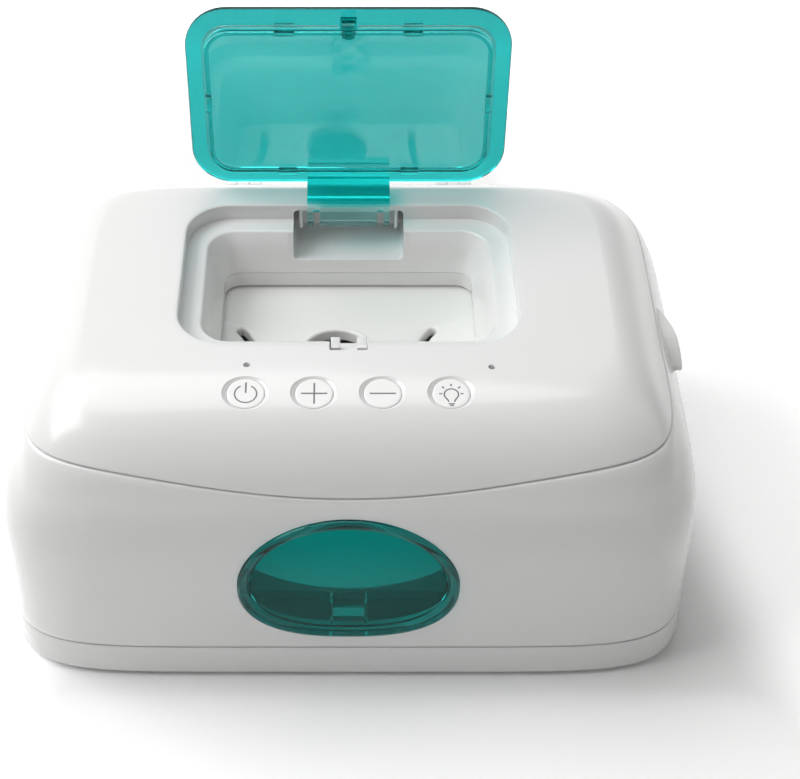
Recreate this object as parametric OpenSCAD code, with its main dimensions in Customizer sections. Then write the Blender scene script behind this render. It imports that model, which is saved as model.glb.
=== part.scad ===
// Baby wipe warmer: a heated wipe bin in a two-piece shell, with a hinged top cover,
// a spring-opened see-through flap over the dispensing well, four push buttons and a night light.
// Millimetres. +Z up, front towards -Y. The origin is on the table, under the middle of the body.

/* [Body] */
// Width of the body at its widest level
body_w = 250; // [235:1:280]
// Depth of the body at its widest level
body_d = 175; // [168:1:200]
// Height of the flat top deck above the table
deck_z = 115; // [112:0.5:130]
// Height of the widest level
widest_z = 57; // [48:1:62]
// How squarely the corners turn in plan: the superellipse's exponent
corner_power = 7.4; // [6:0.1:9]
// Outward flare of the wall from the widest level down to the foot
foot_flare = 1.5; // [0:0.1:2.5]
// Wall of the moulded shells
wall = 2.5; // [2:0.1:3]
// Height of the joint between base pan and side shell
base_seam_z = 16.5; // [14:0.5:18]
// Height of the joint between side shell and top cover at the corners
cover_seam_z = 99; // [97:0.5:102]
// How far that joint dips at the middle of the front
seam_dip = 10; // [6:0.5:12]
// Open gap of both joints
seam_gap = 0.6; // [0.4:0.1:1]
// How far the feet stand out below the base
foot_h = 1.2; // [0.8:0.1:3]

/* [Shoulder] */
// Width of the rounded shoulder at the sides and back
side_shoulder = 32; // [28:1:36]
// Width of the rounded shoulder at the front
front_shoulder = 44; // [40:1:46]
// Exponents of the side and back shoulder curve
side_curve = [2.1, 1.5];
// Exponents of the front shoulder curve
front_curve = [2.0, 2.6];

/* [Dispensing well] */
// Width of the recess that the flap closes into
recess_w = 121; // [110:1:124]
// Distance from the body's front to the recess
front_deck = 56.3; // [55:0.1:60]
// Distance from the body's back to the recess
back_deck = 41.7; // [41:0.1:46]
// Depth of the recess down to its ledge
recess_h = 6.4; // [6:0.1:7]
// Corner radius of the recess
recess_r = 16; // [12:0.5:18]
// Width of the ledge round the funnel
ledge_w = 7.6; // [7:0.1:8]
// Height of the funnel below the ledge
funnel_h = 16.1; // [14:0.1:17]
// How far each funnel wall slopes in over that height
funnel_draft = 5.6; // [4:0.1:7]
// Height of the collar below the funnel
collar_h = 6.2; // [5:0.1:6.4]
// Wall of funnel, pocket and collar
well_wall = 2; // [1.6:0.1:2.4]

/* [Flap] */
// Thickness of the flap's outer panel
flap_t = 2.4; // [2:0.1:2.6]
// Gap round the flap at the sides and front
flap_gap = 1; // [0.6:0.1:1.4]
// Gap at the flap's hinge edge
flap_back_gap = 1.8; // [1.7:0.1:2.2]
// How far the flap stands open
flap_open_angle = 92; // [80:1:94]
// Distance of the flap's hinge axis behind the recess
hinge_back = 7; // [6.8:0.1:7.4]
// Depth of that axis below the deck
hinge_drop = 5.4; // [5.2:0.1:5.6]
// Width of the hinge arm
arm_w = 31.2; // [28:0.2:33]
// Radius of the flap's hinge pin
flap_pin_r = 1; // [0.8:0.05:1.1]
// Height of the rim under the inner panel
rim_h = 4; // [3:0.1:4.2]

/* [Buttons] */
// Distance between neighbouring buttons
button_pitch = 23.2; // [20:0.2:24]
// Radius of a button's face
button_r = 6.65; // [6:0.05:7]
// Distance of the button row in front of the recess
button_room = 24.1; // [23:0.1:26]
// Tilt of the button row, which follows the shoulder
button_tilt = 12; // [8:0.5:14]
// Travel of a button
button_travel = 0.6; // [0.4:0.05:0.65]

/* [Front window] */
// Width of the window
window_w = 77.6; // [66:0.2:84]
// Height of the window's widest level
window_z = 50; // [48:0.5:52]
// Height of the window above that level
window_up = 31.6; // [28:0.2:33]
// Height of the window below that level
window_down = 26.6; // [24:0.2:28]

/* [Cover hinge and latch] */
// Distance of the cover's hinge axis behind the seam
cover_axis_out = 3.6; // [3.4:0.1:4.4]
// Outer radius of the hinge knuckles
knuckle_r = 2.4; // [2.2:0.1:2.6]
// Radius of the cover's hinge pins
cover_pin_r = 1; // [0.8:0.05:1.1]
// Where the two hinges stand, either side of the middle
cover_hinge_x = 42; // [36:1:60]
// Travel of the latch tab
latch_travel = 2.5; // [2.2:0.1:2.6]
// Travel of the flap's catch
catch_travel = 2; // [1.9:0.05:2.1]

/* [Inside] */
// Wall of the wipe bin
bin_wall = 1.8; // [1.4:0.1:2.4]
// Room beside the wipe bin, from its mouth to the body's widest level
bin_side_room = 27; // [26:0.5:35]
// The same room in front of the bin and behind it
bin_front_room = 21.5; // [21:0.5:27]
// Height of the bin's floor above the table
bin_floor_z = 20.4; // [19:0.1:24]
// Thickness of the inner plate over the wipes
plate_t = 2; // [1.5:0.1:2.2]
// Radius of the hole in the inner plate
plate_hole_r = 12.6; // [10:0.1:16]
// Thickness of the circuit boards
board_t = 1.6; // [1:0.1:2]

/* [Hidden] */
$fn = 48;

half_w = body_w / 2;
half_d = body_d / 2;
bin_w = body_w - 2 * bin_side_room;
bin_d = body_d - 2 * bin_front_room;
recess_l = body_d - front_deck - back_deck;
recess_y = (front_deck - back_deck) / 2;
fit = 0.3;             // clearance between neighbouring pieces
pin_fit = 0.05;        // radial running clearance of a pin
ring_octant = 6;       // points along an eighth of a body ring
base_z = foot_h;
recess_back = recess_y + recess_l / 2;
recess_front = recess_y - recess_l / 2;
button_y = button_room - recess_front;
ledge_z = deck_z - recess_h;
funnel_z = ledge_z - funnel_h;
collar_z = funnel_z - collar_h;
plate_z = collar_z - 0.8 - plate_t;
mouth_w = recess_w - 2 * ledge_w;
mouth_l = recess_l - 2 * ledge_w;
mouth_r = recess_r - ledge_w + 2;
throat_w = mouth_w - 2 * funnel_draft;
throat_l = mouth_l - 2 * funnel_draft;
throat_r = mouth_r - 0.7 * funnel_draft;
axis_y = recess_back + hinge_back;
axis_z = deck_z - hinge_drop;
barrel_r = hinge_drop - flap_t - 0.4;
pocket_half = arm_w / 2 + 5.4;
pocket_floor = axis_z - 12;
pocket_back = axis_y + 4.2;
arm_front = -(hinge_back + flap_back_gap + 0.4);  // rear face of the hanging leg, from the axis
arm_t = 2.3;
buttons = [for (i = [0 : 3]) (i - 1.5) * button_pitch];
red = "firebrick";
shell_white = [0.95, 0.95, 0.94];
clear_teal = [0.18, 0.70, 0.68, 0.8];

// ---- Body outline -------------------------------------------------------------------------

// Share of the shoulder's width lost at a share t of its height
function shoulder(t, curve) = 1 - pow(max(0, 1 - pow(t, curve[0])), 1 / curve[1]);
function rise(z, skin) = max(0, min(1, (z - widest_z) / (deck_z - skin - widest_z)));
function flare(z) = z < widest_z ? -foot_flare * pow((widest_z - z) / widest_z, 2) : 0;
function side_in(z, skin) = skin + flare(z) + side_shoulder * shoulder(rise(z, skin), side_curve);
function front_in(z, skin) =
    skin + flare(z) + front_shoulder * shoulder(rise(z, skin), front_curve);

// Height of the outer surface at a distance y in front of the middle
function front_height(y) = let (
    lost = min(1, (half_d - y) / front_shoulder),
    t = pow(1 - pow(1 - lost, front_curve[1]), 1 / front_curve[0])
) widest_z + (deck_z - widest_z) * t;

// One eighth of a unit superellipse, crowded towards its corner
function octant(s) = let (v = pow(0.5, 1 / corner_power) * (1 - pow(1 - s, 1.7)))
    [pow(1 - pow(v, corner_power), 1 / corner_power), v];
function quarter(k) = k <= ring_octant ? octant(k / ring_octant)
    : let (p = octant(2 - k / ring_octant)) [p[1], p[0]];
function turned(p, q) = q == 0 ? p : q == 1 ? [-p[1], p[0]] : q == 2 ? -p : [p[1], -p[0]];
unit_ring = [for (q = [0 : 3], k = [0 : 2 * ring_octant - 1])
    turned(q % 2 == 0 ? quarter(k) : quarter(k), q)];

// A point of the body's surface: unit-ring point, height, and how far in from the outside
function body_point(p, z, skin) = [
    p[0] * (half_w - side_in(z, skin)),
    p[1] * (half_d - (p[1] < 0 ? front_in(z, skin) : side_in(z, skin))),
    z
];
// Height of the cover's seam, which dips along the front
function seam_at(p) = cover_seam_z
    - (p[1] < 0 ? seam_dip * (0.5 + 0.5 * cos(180 * min(1, abs(p[0]) / 0.98))) : 0);
function level_ring(z, skin) = [for (p = unit_ring) body_point(p, z, skin)];
// A ring a share f of the way from height z up to the seam
function side_ring(f, z, skin) = [for (p = unit_ring)
    body_point(p, z + f * (seam_at(p) - seam_gap / 2 - z), skin)];
// A ring a share f of the way from the seam up to the deck
function cover_ring(f, skin) = [for (p = unit_ring) let (z = seam_at(p) + seam_gap / 2)
    body_point(p, z + f * (deck_z - skin - z), skin)];

function reversed(list) = [for (i = [len(list) - 1 : -1 : 0]) list[i]];

// A closed skin through a stack of rings; its ends are capped, or joined to each other
module stack(rings, looped = false) {
    n = len(rings[0]);
    m = len(rings);
    walls = [for (i = [0 : looped ? m - 1 : m - 2], j = [0 : n - 1]) let (
        a = i * n + j, d = i * n + (j + 1) % n,
        b = ((i + 1) % m) * n + j, c = ((i + 1) % m) * n + (j + 1) % n
    ) each [[a, b, c], [a, c, d]]];
    caps = looped ? [] : [
        [for (j = [0 : n - 1]) j],
        [for (j = [n - 1 : -1 : 0]) (m - 1) * n + j]
    ];
    polyhedron(points = [for (r = rings) each r], faces = concat(walls, caps), convexity = 8);
}

// ---- Rounded rectangles -------------------------------------------------------------------

function rounded(w, l, r, steps = 6) = [for (q = [0 : 3], k = [0 : steps])
    let (a = 90 * q + 90 * k / steps, sx = q == 0 || q == 3 ? 1 : -1, sy = q < 2 ? 1 : -1)
    [sx * (w / 2 - r) + r * cos(a), sy * (l / 2 - r) + r * sin(a)]];
module slab(w, l, r, h) { linear_extrude(h) polygon(rounded(w, l, r)); }
function rounded_ring(w, l, r, z) = [for (p = rounded(w, l, r)) [p[0], p[1], z]];
// A drafted block between two rounded rectangles
module drafted(low, high, z, h) {
    stack([rounded_ring(low[0], low[1], low[2], z), rounded_ring(high[0], high[1], high[2], z + h)]);
}
module box(x, y, z) {
    translate([x[0], y[0], z[0]]) cube([x[1] - x[0], y[1] - y[0], z[1] - z[0]]);
}
module rod_x(x, y, z, r) { translate([x[0], y, z]) rotate([0, 90, 0]) cylinder(r = r, h = x[1] - x[0]); }
module rod_y(x, y, z, r) { translate([x, y[0], z]) rotate([-90, 0, 0]) cylinder(r = r, h = y[1] - y[0]); }
module rod_z(x, y, z, r) { translate([x, y, z[0]]) cylinder(r = r, h = z[1] - z[0]); }
module at_corners(x, y) { for (i = [-1, 1], j = [-1, 1]) translate([i * x, j * y, 0]) children(); }

// A helical wire along +Z, closed at both ends
module coil(r, wire, length, turns) {
    steps = 12 * turns;
    stack([for (i = [0 : steps]) let (a = 30 * i, z = wire + (length - 2 * wire) * i / steps)
        [for (k = [0 : 5]) let (u = r + wire * cos(60 * k))
            [u * cos(a), u * sin(a), z + wire * sin(60 * k)]]]);
}

// A wire through a few points, square in section
module wire(points, d) {
    for (i = [0 : len(points) - 2]) hull() {
        translate(points[i]) cube(d, center = true);
        translate(points[i + 1]) cube(d, center = true);
    }
}

// ---- Base ----------------------------------------------------------------------------------

foot_x = half_w - 29;
foot_y = half_d - 27.5;
post_x = bin_w / 2 - 16;
post_y = bin_d / 2 - 17;
tray_z = 11.4;
board_x = 58;
board_y = 26;
board_hole_x = board_x - 4;
board_hole_y = board_y - 5;
board_z = 7;
inlet_x = half_w - 55;
inlet_z = 9.4;
inlet_w = 9.6;
inlet_h = 10.4;
jack_r = 2.75;
jack_pin_r = 1.05;
inlet_back = half_d - side_in(inlet_z, 0) - 1;
boss_x = half_w - 19;
boss_y = half_d - 21.5;

module base_pan() {
    floor_z = base_z + wall;
    rim_z = base_seam_z - seam_gap / 2;
    color(shell_white) difference() {
        union() {
            stack([
                level_ring(base_z, 2), level_ring(base_z + 0.6, 0.8), level_ring(base_z + 2, 0),
                level_ring(rim_z, 0), level_ring(rim_z, wall), level_ring(floor_z + 1, wall),
                level_ring(floor_z, wall + 1)
            ]);
            at_corners(post_x, post_y) rod_z(0, 0, [base_z + 1, tray_z], 4);
            at_corners(boss_x, boss_y) rod_z(0, 0, [base_z + 1, base_seam_z - 1], 4.5);
            at_corners(board_hole_x, board_hole_y) rod_z(0, 0, [base_z + 1, board_z], 3);
            translate([inlet_x, 0, 0])
                box([-inlet_w / 2 - 1.6, inlet_w / 2 + 1.6], [inlet_back - 14, inlet_back - 12.4],
                    [base_z + 1, inlet_z - 1.4]);
        }
        at_corners(foot_x, foot_y) rod_z(0, 0, [base_z - 1, base_z + 0.8], 8 + fit);
        at_corners(post_x, post_y) rod_z(0, 0, [tray_z - 7, tray_z + 1], 1.3);
        at_corners(board_hole_x, board_hole_y) rod_z(0, 0, [board_z - 3, board_z + 1], 1);
        at_corners(boss_x, boss_y) {
            rod_z(0, 0, [base_z - 1, base_z + 3.4], 3.2);
            rod_z(0, 0, [base_z - 1, base_seam_z + 1], 1.7);
        }
        translate([inlet_x, 0, inlet_z]) {
            box([-inlet_w / 2 - fit, inlet_w / 2 + fit], [inlet_back - 12, inlet_back - 1.5],
                [-inlet_h / 2, base_seam_z]);
            rod_y(0, [inlet_back - 13, half_d + 9], 0, 4.2);
        }
        // Air slots in the floor
        for (i = [-3 : 3]) box([i * 14 - 2, i * 14 + 2], [28, 58], [base_z - 1, floor_z + 1]);
    }
}

module rubber_feet() {
    color("dimgray") at_corners(foot_x, foot_y) {
        rod_z(0, 0, [0, base_z + 0.8], 8);
    }
}

module base_screws() {
    color("silver") at_corners(boss_x, boss_y) {
        rod_z(0, 0, [base_z + 1.2, base_z + 3.4], 2.8);
        rod_z(0, 0, [base_z + 3.4, base_seam_z + 8], 1.45);
    }
}

// ---- Side shell ----------------------------------------------------------------------------

// The window's outline: two half superellipses that share their widest level
function window_point(a, grow) = let (
    up = sin(a) >= 0, p = up ? 2.15 : 2.5, h = (up ? window_up : window_down) + grow,
    c = cos(a), s = sin(a), k = pow(pow(abs(c), p) + pow(abs(s), p), -1 / p)
) [(window_w / 2 + grow) * c * k, window_z + h * s * k];
window_steps = 40;
function window_outline(grow) =
    [for (i = [0 : window_steps - 1]) window_point(360 * i / window_steps, grow)];
// A ring of the window at a share s of its size, lying a depth behind the body's front surface
function window_ring(s, grow, depth) = [for (p = window_outline(grow)) let (
    x = p[0] * s, z = window_z + (p[1] - window_z) * s,
    side = pow(1 - pow(abs(x) / half_w, corner_power), 1 / corner_power)
) [x, -(half_d - front_in(z, 0)) * side + depth, z]];

latch_y = -4.6;
latch_half = 12.2;
tab_z = [cover_seam_z - 11.8, cover_seam_z - 2.6];
tab_wall_x = half_w - side_in(tab_z[1], 0) - wall - 2;
frame_half = 8.1;
arm_in_x = bin_w / 2 + 1;
shelf_z = tab_z[0] - 0.6;
leg_x = [arm_in_x + 5, arm_in_x + 7.5];
leg_half = 4.9;
leg_low = cover_seam_z - 11;
latch_z = cover_seam_z - 7.6;
light_post_x = window_w / 2 + 6.4;
light_post_z = window_z + 11;

module side_shell() {
    low = base_seam_z + seam_gap / 2;
    shares = [0, 0.16, 0.32, 0.48, 0.62, 0.74, 0.84, 0.92, 1];
    color(shell_white) difference() {
        union() {
            stack(concat(
                [for (f = shares) side_ring(f, low, 0)],
                [for (f = reversed(shares)) side_ring(f, low, wall)]
            ), looped = true);
            // Screw posts, webbed to the corners
            at_corners(boss_x, boss_y) rod_z(0, 0, [base_seam_z - 0.7, base_seam_z + 16], 4.5);
            for (i = [-1, 1], j = [-1, 1])
                translate([i * boss_x, j * boss_y, low]) rotate([0, 0, i * j * 45])
                    box([i > 0 ? 0 : -14.4, i > 0 ? 14.4 : 0], [-1, 1], [0, 14]);
            // Posts beside the window that carry the night light
            for (i = [-1, 1]) {
                rod_y(i * light_post_x, [-half_d + 1, ear_y], light_post_z, 3.6);
                rod_y(i * light_post_x, [-half_d + 1, light_board_y], light_post_z, 2.6);
            }
            hinge_knuckles([[-7, -2.6], [2.6, 7]], -1);
            latch_shelf();
        }
        translate([0, -half_d - 5, 0]) rotate([90, 0, 0]) translate([0, 0, -20])
            linear_extrude(25) polygon(window_outline(fit));
        // Opening that the latch tab slides through
        box([tab_wall_x, half_w + 20],
            [latch_y - latch_half - fit, latch_y + latch_half + fit], [tab_z[0] - fit, tab_z[1] + fit]);
        hinge_bores();
        at_corners(boss_x, boss_y) rod_z(0, 0, [base_seam_z - 1, base_seam_z + 10], 1.5);
        for (i = [-1, 1])
            rod_y(i * light_post_x, [light_board_y - 7, light_board_y + 1], light_post_z, 1);
    }
}

module latch_shelf() {
    box([arm_in_x - 1.5, half_w - side_in(shelf_z, 0) - 1],
        [latch_y - latch_half - 6, latch_y + latch_half + 6], [shelf_z - 1.6, shelf_z]);
    for (j = [-1, 1])
        box([arm_in_x - 1, arm_in_x + 1],
            [latch_y + j * (latch_half + 2.6) - 2.4, latch_y + j * (latch_half + 2.6) + 2.4],
            [shelf_z - 0.5, shelf_z + 5.6]);
}

cover_axis_y = half_d - side_in(cover_seam_z, 0) + cover_axis_out;
cover_axis_z = cover_seam_z;

// Knuckles of one hinge leaf; side is -1 below the seam and 1 above it
module hinge_knuckles(spans, side) {
    for (i = [-1, 1], s = spans) translate([i * cover_hinge_x, 0, 0]) {
        rod_x(s, cover_axis_y, cover_axis_z, knuckle_r);
        box(s, [cover_axis_y - cover_axis_out - 3.4 * (side > 0 ? 1 : 0.2), cover_axis_y - 0.6],
            side > 0 ? [cover_axis_z + 0.9, cover_axis_z + knuckle_r]
                : [cover_axis_z - knuckle_r, cover_axis_z - 0.9]);
    }
}
module hinge_bores() {
    for (i = [-1, 1]) translate([i * cover_hinge_x, 0, 0])
        rod_x([-8, 8], cover_axis_y, cover_axis_z, cover_pin_r + pin_fit);
}

module cover_hinge_pins() {
    color("silver") for (i = [-1, 1]) translate([i * cover_hinge_x, 0, 0])
        rod_x([-7, 7], cover_axis_y, cover_axis_z, cover_pin_r);
}

// ---- Night light ---------------------------------------------------------------------------

module front_window() {
    color(clear_teal) stack([
        window_ring(0.12, 0, wall + 0.6), window_ring(0.9, 0, wall + 0.6),
        window_ring(0.92, 0, wall + 2.2), window_ring(1, 1.8, wall + 2.2),
        window_ring(1, 1.8, wall + 0.8), window_ring(1, 0, wall + 0.8),
        window_ring(1, 0, 0.1), window_ring(0.97, 0, -0.9), window_ring(0.6, 0, -1.5),
        window_ring(0.12, 0, -1.7)
    ]);
}

// The board stands clear of the bin; the diffuser's bow and its posts share the room to the window
light_board_y = -bin_d / 2 - board_t - 2.4;
light_room = light_board_y + half_d - wall - 2.2 - 1;
ear_y = light_board_y - light_room / 2;
diffuser_half = light_post_x - 4;
diffuser_r = (pow(diffuser_half, 2) + pow(light_room / 2, 2)) / light_room;
module light_diffuser() {
    // A panel bowed towards the window, with an ear over each post
    half_angle = asin(diffuser_half / diffuser_r);
    arc = [for (i = [-8 : 8]) i * half_angle / 8];
    mid = ear_y + diffuser_r * cos(half_angle);
    color("white") difference() {
        union() {
            translate([0, mid, window_z - 5]) linear_extrude(window_up - 5) polygon(concat(
                [for (a = arc) diffuser_r * [sin(a), -cos(a)]],
                [for (a = reversed(arc)) (diffuser_r - 1.6) * [sin(a), -cos(a)]]
            ));
            for (i = [-1, 1]) {
                rod_y(i * light_post_x, [ear_y, ear_y + 1.4], light_post_z, 5.2);
                box([min(i * light_post_x, i * (diffuser_half - 3)),
                    max(i * light_post_x, i * (diffuser_half - 3))], [ear_y, ear_y + 1.4],
                    [light_post_z - 5, light_post_z + 5]);
            }
        }
        for (i = [-1, 1])
            rod_y(i * light_post_x, [ear_y - 9, ear_y + 9], light_post_z, 2.6 + fit);
    }
}

module night_light_board() {
    y = light_board_y;
    color("seagreen") difference() {
        box([-light_post_x - 4, light_post_x + 4], [y, y + board_t],
            [window_z - 2, window_z + 22]);
        for (i = [-1, 1]) rod_y(i * light_post_x, [y - 1, y + 9], light_post_z, 1.3);
    }
    color("khaki") for (i = [-2 : 2])
        box([i * 13 - 1.75, i * 13 + 1.75], [y - 1.6, y], [window_z + 9, window_z + 12.5]);
}

module light_screws() {
    color("silver") for (i = [-1, 1]) {
        rod_y(i * light_post_x, [light_board_y - 6, light_board_y + board_t], light_post_z, 0.95);
        rod_y(i * light_post_x, [light_board_y + board_t, light_board_y + board_t + 1.4],
            light_post_z, 2);
    }
}

// ---- Bin and heater ------------------------------------------------------------------------

bin_top = plate_z;
bin_r = 20;
slot_far = [36, recess_y + 0.3];
slot_near = [31.4, recess_y - 16];
hole_x = -4.4;
hole_y = recess_y - 12.7;
heater_mat_t = 0.5;
heater_plate_t = 2.4;
pad_t = 3.4;

module wipe_bin() {
    color("whitesmoke") difference() {
        union() {
            drafted([bin_w - 6, bin_d - 6, bin_r - 3], [bin_w, bin_d, bin_r],
                bin_floor_z, bin_top - bin_floor_z);
            translate([0, 0, bin_top - 2]) slab(bin_w + 5, bin_d + 5, bin_r + 2.5, 2);
        }
        drafted([bin_w - 6 - 2 * bin_wall, bin_d - 6 - 2 * bin_wall, bin_r - 3 - bin_wall],
            [bin_w - 2 * bin_wall, bin_d - 2 * bin_wall, bin_r - bin_wall],
            bin_floor_z + bin_wall, bin_top - bin_floor_z);
    }
}

module wipe_plate() {
    color("ivory") translate([0, 0, plate_z]) difference() {
        slab(bin_w - 2, bin_d - 2, bin_r - 1, plate_t);
        rod_z(hole_x, hole_y, [-1, plate_t + 1], plate_hole_r);
        for (i = [-1, 1]) {
            dx = slot_far[0] - slot_near[0];
            dy = slot_far[1] - slot_near[1];
            translate([hole_x + i * slot_near[0], slot_near[1], -1]) rotate([0, 0, -i * atan(dx / dy)]) {
                box([-1.9, 1.9], [0, norm([dx, dy])], [0, plate_t + 2]);
                cylinder(r = 1.9, h = plate_t + 2);
                translate([0, norm([dx, dy]), 0]) cylinder(r = 1.9, h = plate_t + 2);
            }
        }
    }
}

module heater_tray() {
    color("gainsboro") difference() {
        union() {
            translate([0, 0, tray_z]) slab(bin_w - 14, bin_d - 14, bin_r - 4, 1.8);
            translate([0, 0, tray_z]) difference() {
                slab(bin_w - 14, bin_d - 14, bin_r - 4, 3.6);
                translate([0, 0, -1]) slab(bin_w - 18, bin_d - 18, bin_r - 6, 9);
            }
        }
        at_corners(post_x, post_y) rod_z(0, 0, [tray_z - 1, tray_z + 9], 1.7);
        rod_z(0, 0, [tray_z - 1, tray_z + 9], 9);
    }
}

module tray_screws() {
    color("silver") at_corners(post_x, post_y) {
        rod_z(0, 0, [tray_z - 6, tray_z + 1.8], 1.25);
        rod_z(0, 0, [tray_z + 1.8, tray_z + 3.4], 2.6);
    }
}

pad_z = tray_z + 1.8;
mat_z = pad_z + pad_t;
heater_z = mat_z + heater_mat_t;
heater_w = bin_w - 22;
heater_d = bin_d - 22;

module insulation_pad() {
    color("lightgray") difference() {
        translate([0, 0, pad_z]) slab(heater_w, heater_d, 14, pad_t);
        at_corners(post_x, post_y) rod_z(0, 0, [pad_z - 1, pad_z + 9], 4);
        rod_z(0, 0, [pad_z - 1, pad_z + 9], 9);
    }
}

module heater_mat() {
    color("peru") difference() {
        translate([0, 0, mat_z]) slab(heater_w - 8, heater_d - 8, 12, heater_mat_t);
        rod_z(0, 0, [mat_z - 1, mat_z + 9], 9);
    }
}

module heater_plate() {
    color("silver") translate([0, 0, heater_z])
        slab(heater_w, heater_d, 14, bin_floor_z - heater_z);
}

module thermal_cutout() {
    color("black") rod_z(-3.4, 0, [heater_z - 5, heater_z], 3);
}

module temperature_sensor() {
    color("orange") rod_z(4.4, 0, [heater_z - 4, heater_z], 2);
}

// ---- Power side ----------------------------------------------------------------------------

module power_board() {
    color("seagreen") difference() {
        box([-board_x, board_x], [-board_y, board_y], [board_z, board_z + board_t]);
        at_corners(board_hole_x, board_hole_y) rod_z(0, 0, [board_z - 1, board_z + 9], 1.3);
    }
    color("black") box([30, 44], [-8, 6], [board_z + board_t, board_z + board_t + 2.2]);
    color("navy") rod_z(-30, 10, [board_z + board_t, tray_z - 0.4], 5);
    color("ivory") box([-8, 2], [-22, -14], [board_z + board_t, tray_z - 0.6]);
}

module board_screws() {
    color("silver") at_corners(board_hole_x, board_hole_y) {
        rod_z(0, 0, [board_z - 2.6, board_z + board_t], 0.95);
        rod_z(0, 0, [board_z + board_t, board_z + board_t + 1.4], 2);
    }
}

module dc_inlet() {
    color([0.12, 0.12, 0.12]) translate([inlet_x, 0, inlet_z]) {
        difference() {
            union() {
                box([-inlet_w / 2, inlet_w / 2], [inlet_back - 11.6, inlet_back - 1.8],
                    [-inlet_h / 2 + 0.2, inlet_h / 2]);
                rod_y(0, [inlet_back - 1.9, inlet_back + 0.4], 0, 4);
            }
            rod_y(0, [inlet_back - 9.4, inlet_back + 1], 0, jack_r);
        }
        rod_y(0, [inlet_back - 9.6, inlet_back - 0.6], 0, jack_pin_r);
    }
}

module inlet_leads() {
    for (i = [0, 1]) color(i == 0 ? red : "black") wire([
        [inlet_x - 2 + 4 * i, inlet_back - 12.1, inlet_z], [inlet_x - 2 + 4 * i, 46 - 4 * i, inlet_z],
        [48 - 4 * i, 34 - 4 * i, inlet_z], [48 - 4 * i, board_y + 0.7, inlet_z - 0.8]
    ], 1);
}

module heater_leads() {
    for (i = [0, 1]) color(i == 0 ? red : "black") wire([
        [-2.4 + 4.8 * i, 6.4, mat_z - 0.6], [-2.4 + 4.8 * i, 6.4, board_z + board_t + 0.6]
    ], 1);
}

// ---- Top cover -----------------------------------------------------------------------------

module in_recess() { translate([0, recess_y, 0]) children(); }
// The button row's own frame: z = 0 on the cover's surface, +z out of it
module on_buttons() {
    translate([0, -button_y, front_height(button_y)]) rotate([button_tilt, 0, 0]) children();
}
control_x = [-46, 54];
control_y = [-13, 11.5];
board_down = 10.8;      // from the cover's surface to the board's top
shield_down = 15.4;
button_sink = 0.5;      // the button's face lies this far under the surface it bridges
screw_x = 42.5;
screw_y = 9.2;
led_places = [[-34.9, recess_front - 11.6], [49.1, recess_front - 12.7]];
notch_half = 6.7;
notch_front = recess_front - 5.3;
catch_back = -3.9;      // rear of the catch, from the recess's front edge

module top_cover() {
    shares = [for (k = [0 : 10]) sin(9 * k)];
    color(shell_white) difference() {
        union() {
            stack(concat(
                [for (f = reversed(shares)) cover_ring(f, wall)],
                [for (f = shares) cover_ring(f, 0)]
            ));
            in_recess() {
                translate([0, 0, ledge_z - well_wall])
                    slab(recess_w + 2 * well_wall, recess_l + 2 * well_wall, recess_r + well_wall,
                        recess_h + well_wall - 0.5);
                drafted([throat_w + 2 * well_wall, throat_l + 2 * well_wall, throat_r + well_wall],
                    [mouth_w + 2 * well_wall, mouth_l + 2 * well_wall, mouth_r + well_wall],
                    funnel_z, funnel_h);
            }
            box([-pocket_half - well_wall, pocket_half + well_wall],
                [recess_back - 20, pocket_back + well_wall],
                [pocket_floor - well_wall, deck_z - flap_t]);
            catch_housing();
            hinge_knuckles([[-2.3, 2.3]], 1);
            latch_leg();
            on_buttons() for (x = [-screw_x, screw_x], y = [-screw_y, screw_y])
                rod_z(x, y, [-board_down, -3.2], 2.5);
        }
        in_recess() {
            translate([0, 0, ledge_z]) slab(recess_w, recess_l, recess_r, recess_h + 1);
            drafted([throat_w, throat_l, throat_r], [mouth_w, mouth_l, mouth_r],
                funnel_z, funnel_h);
            translate([0, 0, funnel_z - 1]) slab(throat_w, throat_l, throat_r, 1.01);
            translate([0, 0, ledge_z - 0.01]) slab(mouth_w, mouth_l, mouth_r, 1);
        }
        box([-pocket_half, pocket_half], [recess_back - 21, pocket_back],
            [pocket_floor, deck_z - flap_t]);
        box([-notch_half, notch_half], [notch_front, recess_front + ledge_w + 6],
            [ledge_z - 5.1, deck_z + 1]);
        box([-notch_half, notch_half], [notch_front - 2, notch_front + 1],
            [ledge_z - 5.1, deck_z - wall]);
        flap_bore(pocket_half + well_wall + 1);
        hinge_bores();
        on_buttons() {
            for (x = buttons) {
                rod_z(x, 0, [-9, 9], button_r + fit);
                rod_z(x, 0, [-button_sink - 0.75, 9], button_r + 1.45);
            }
            for (x = [-screw_x, screw_x], y = [-screw_y, screw_y])
                rod_z(x, y, [-board_down - 1, -3.4], 1.1);
        }
        for (p = led_places) rod_z(p[0], p[1], [deck_z - 9, deck_z + 1], 0.95);
    }
    color(shell_white) flap_ears();
}

// Two ears inside the pocket that carry the flap's pin beside the arm
module flap_ears() {
    for (i = [-1, 1]) difference() {
        translate([i * (arm_w / 2 + 2.6) - 0.6, 0, 0])
            box([0, 1.2], [axis_y - 6.4, pocket_back + 0.5], [pocket_floor - 0.5, deck_z - flap_t + 0.3]);
        flap_bore(pocket_half + 4);
        translate([0, axis_y - 6.4, pocket_floor - 1]) rotate([45, 0, 0]) cube([99, 6, 6], center = true);
    }
}

module flap_bore(x) { rod_x([-x, x], axis_y, axis_z, flap_pin_r + pin_fit); }

module catch_housing() {
    box([-notch_half - 2, notch_half + 2], [notch_front - 4, recess_front + ledge_w],
        [ledge_z - 7.1, deck_z - 1]);
}

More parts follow.
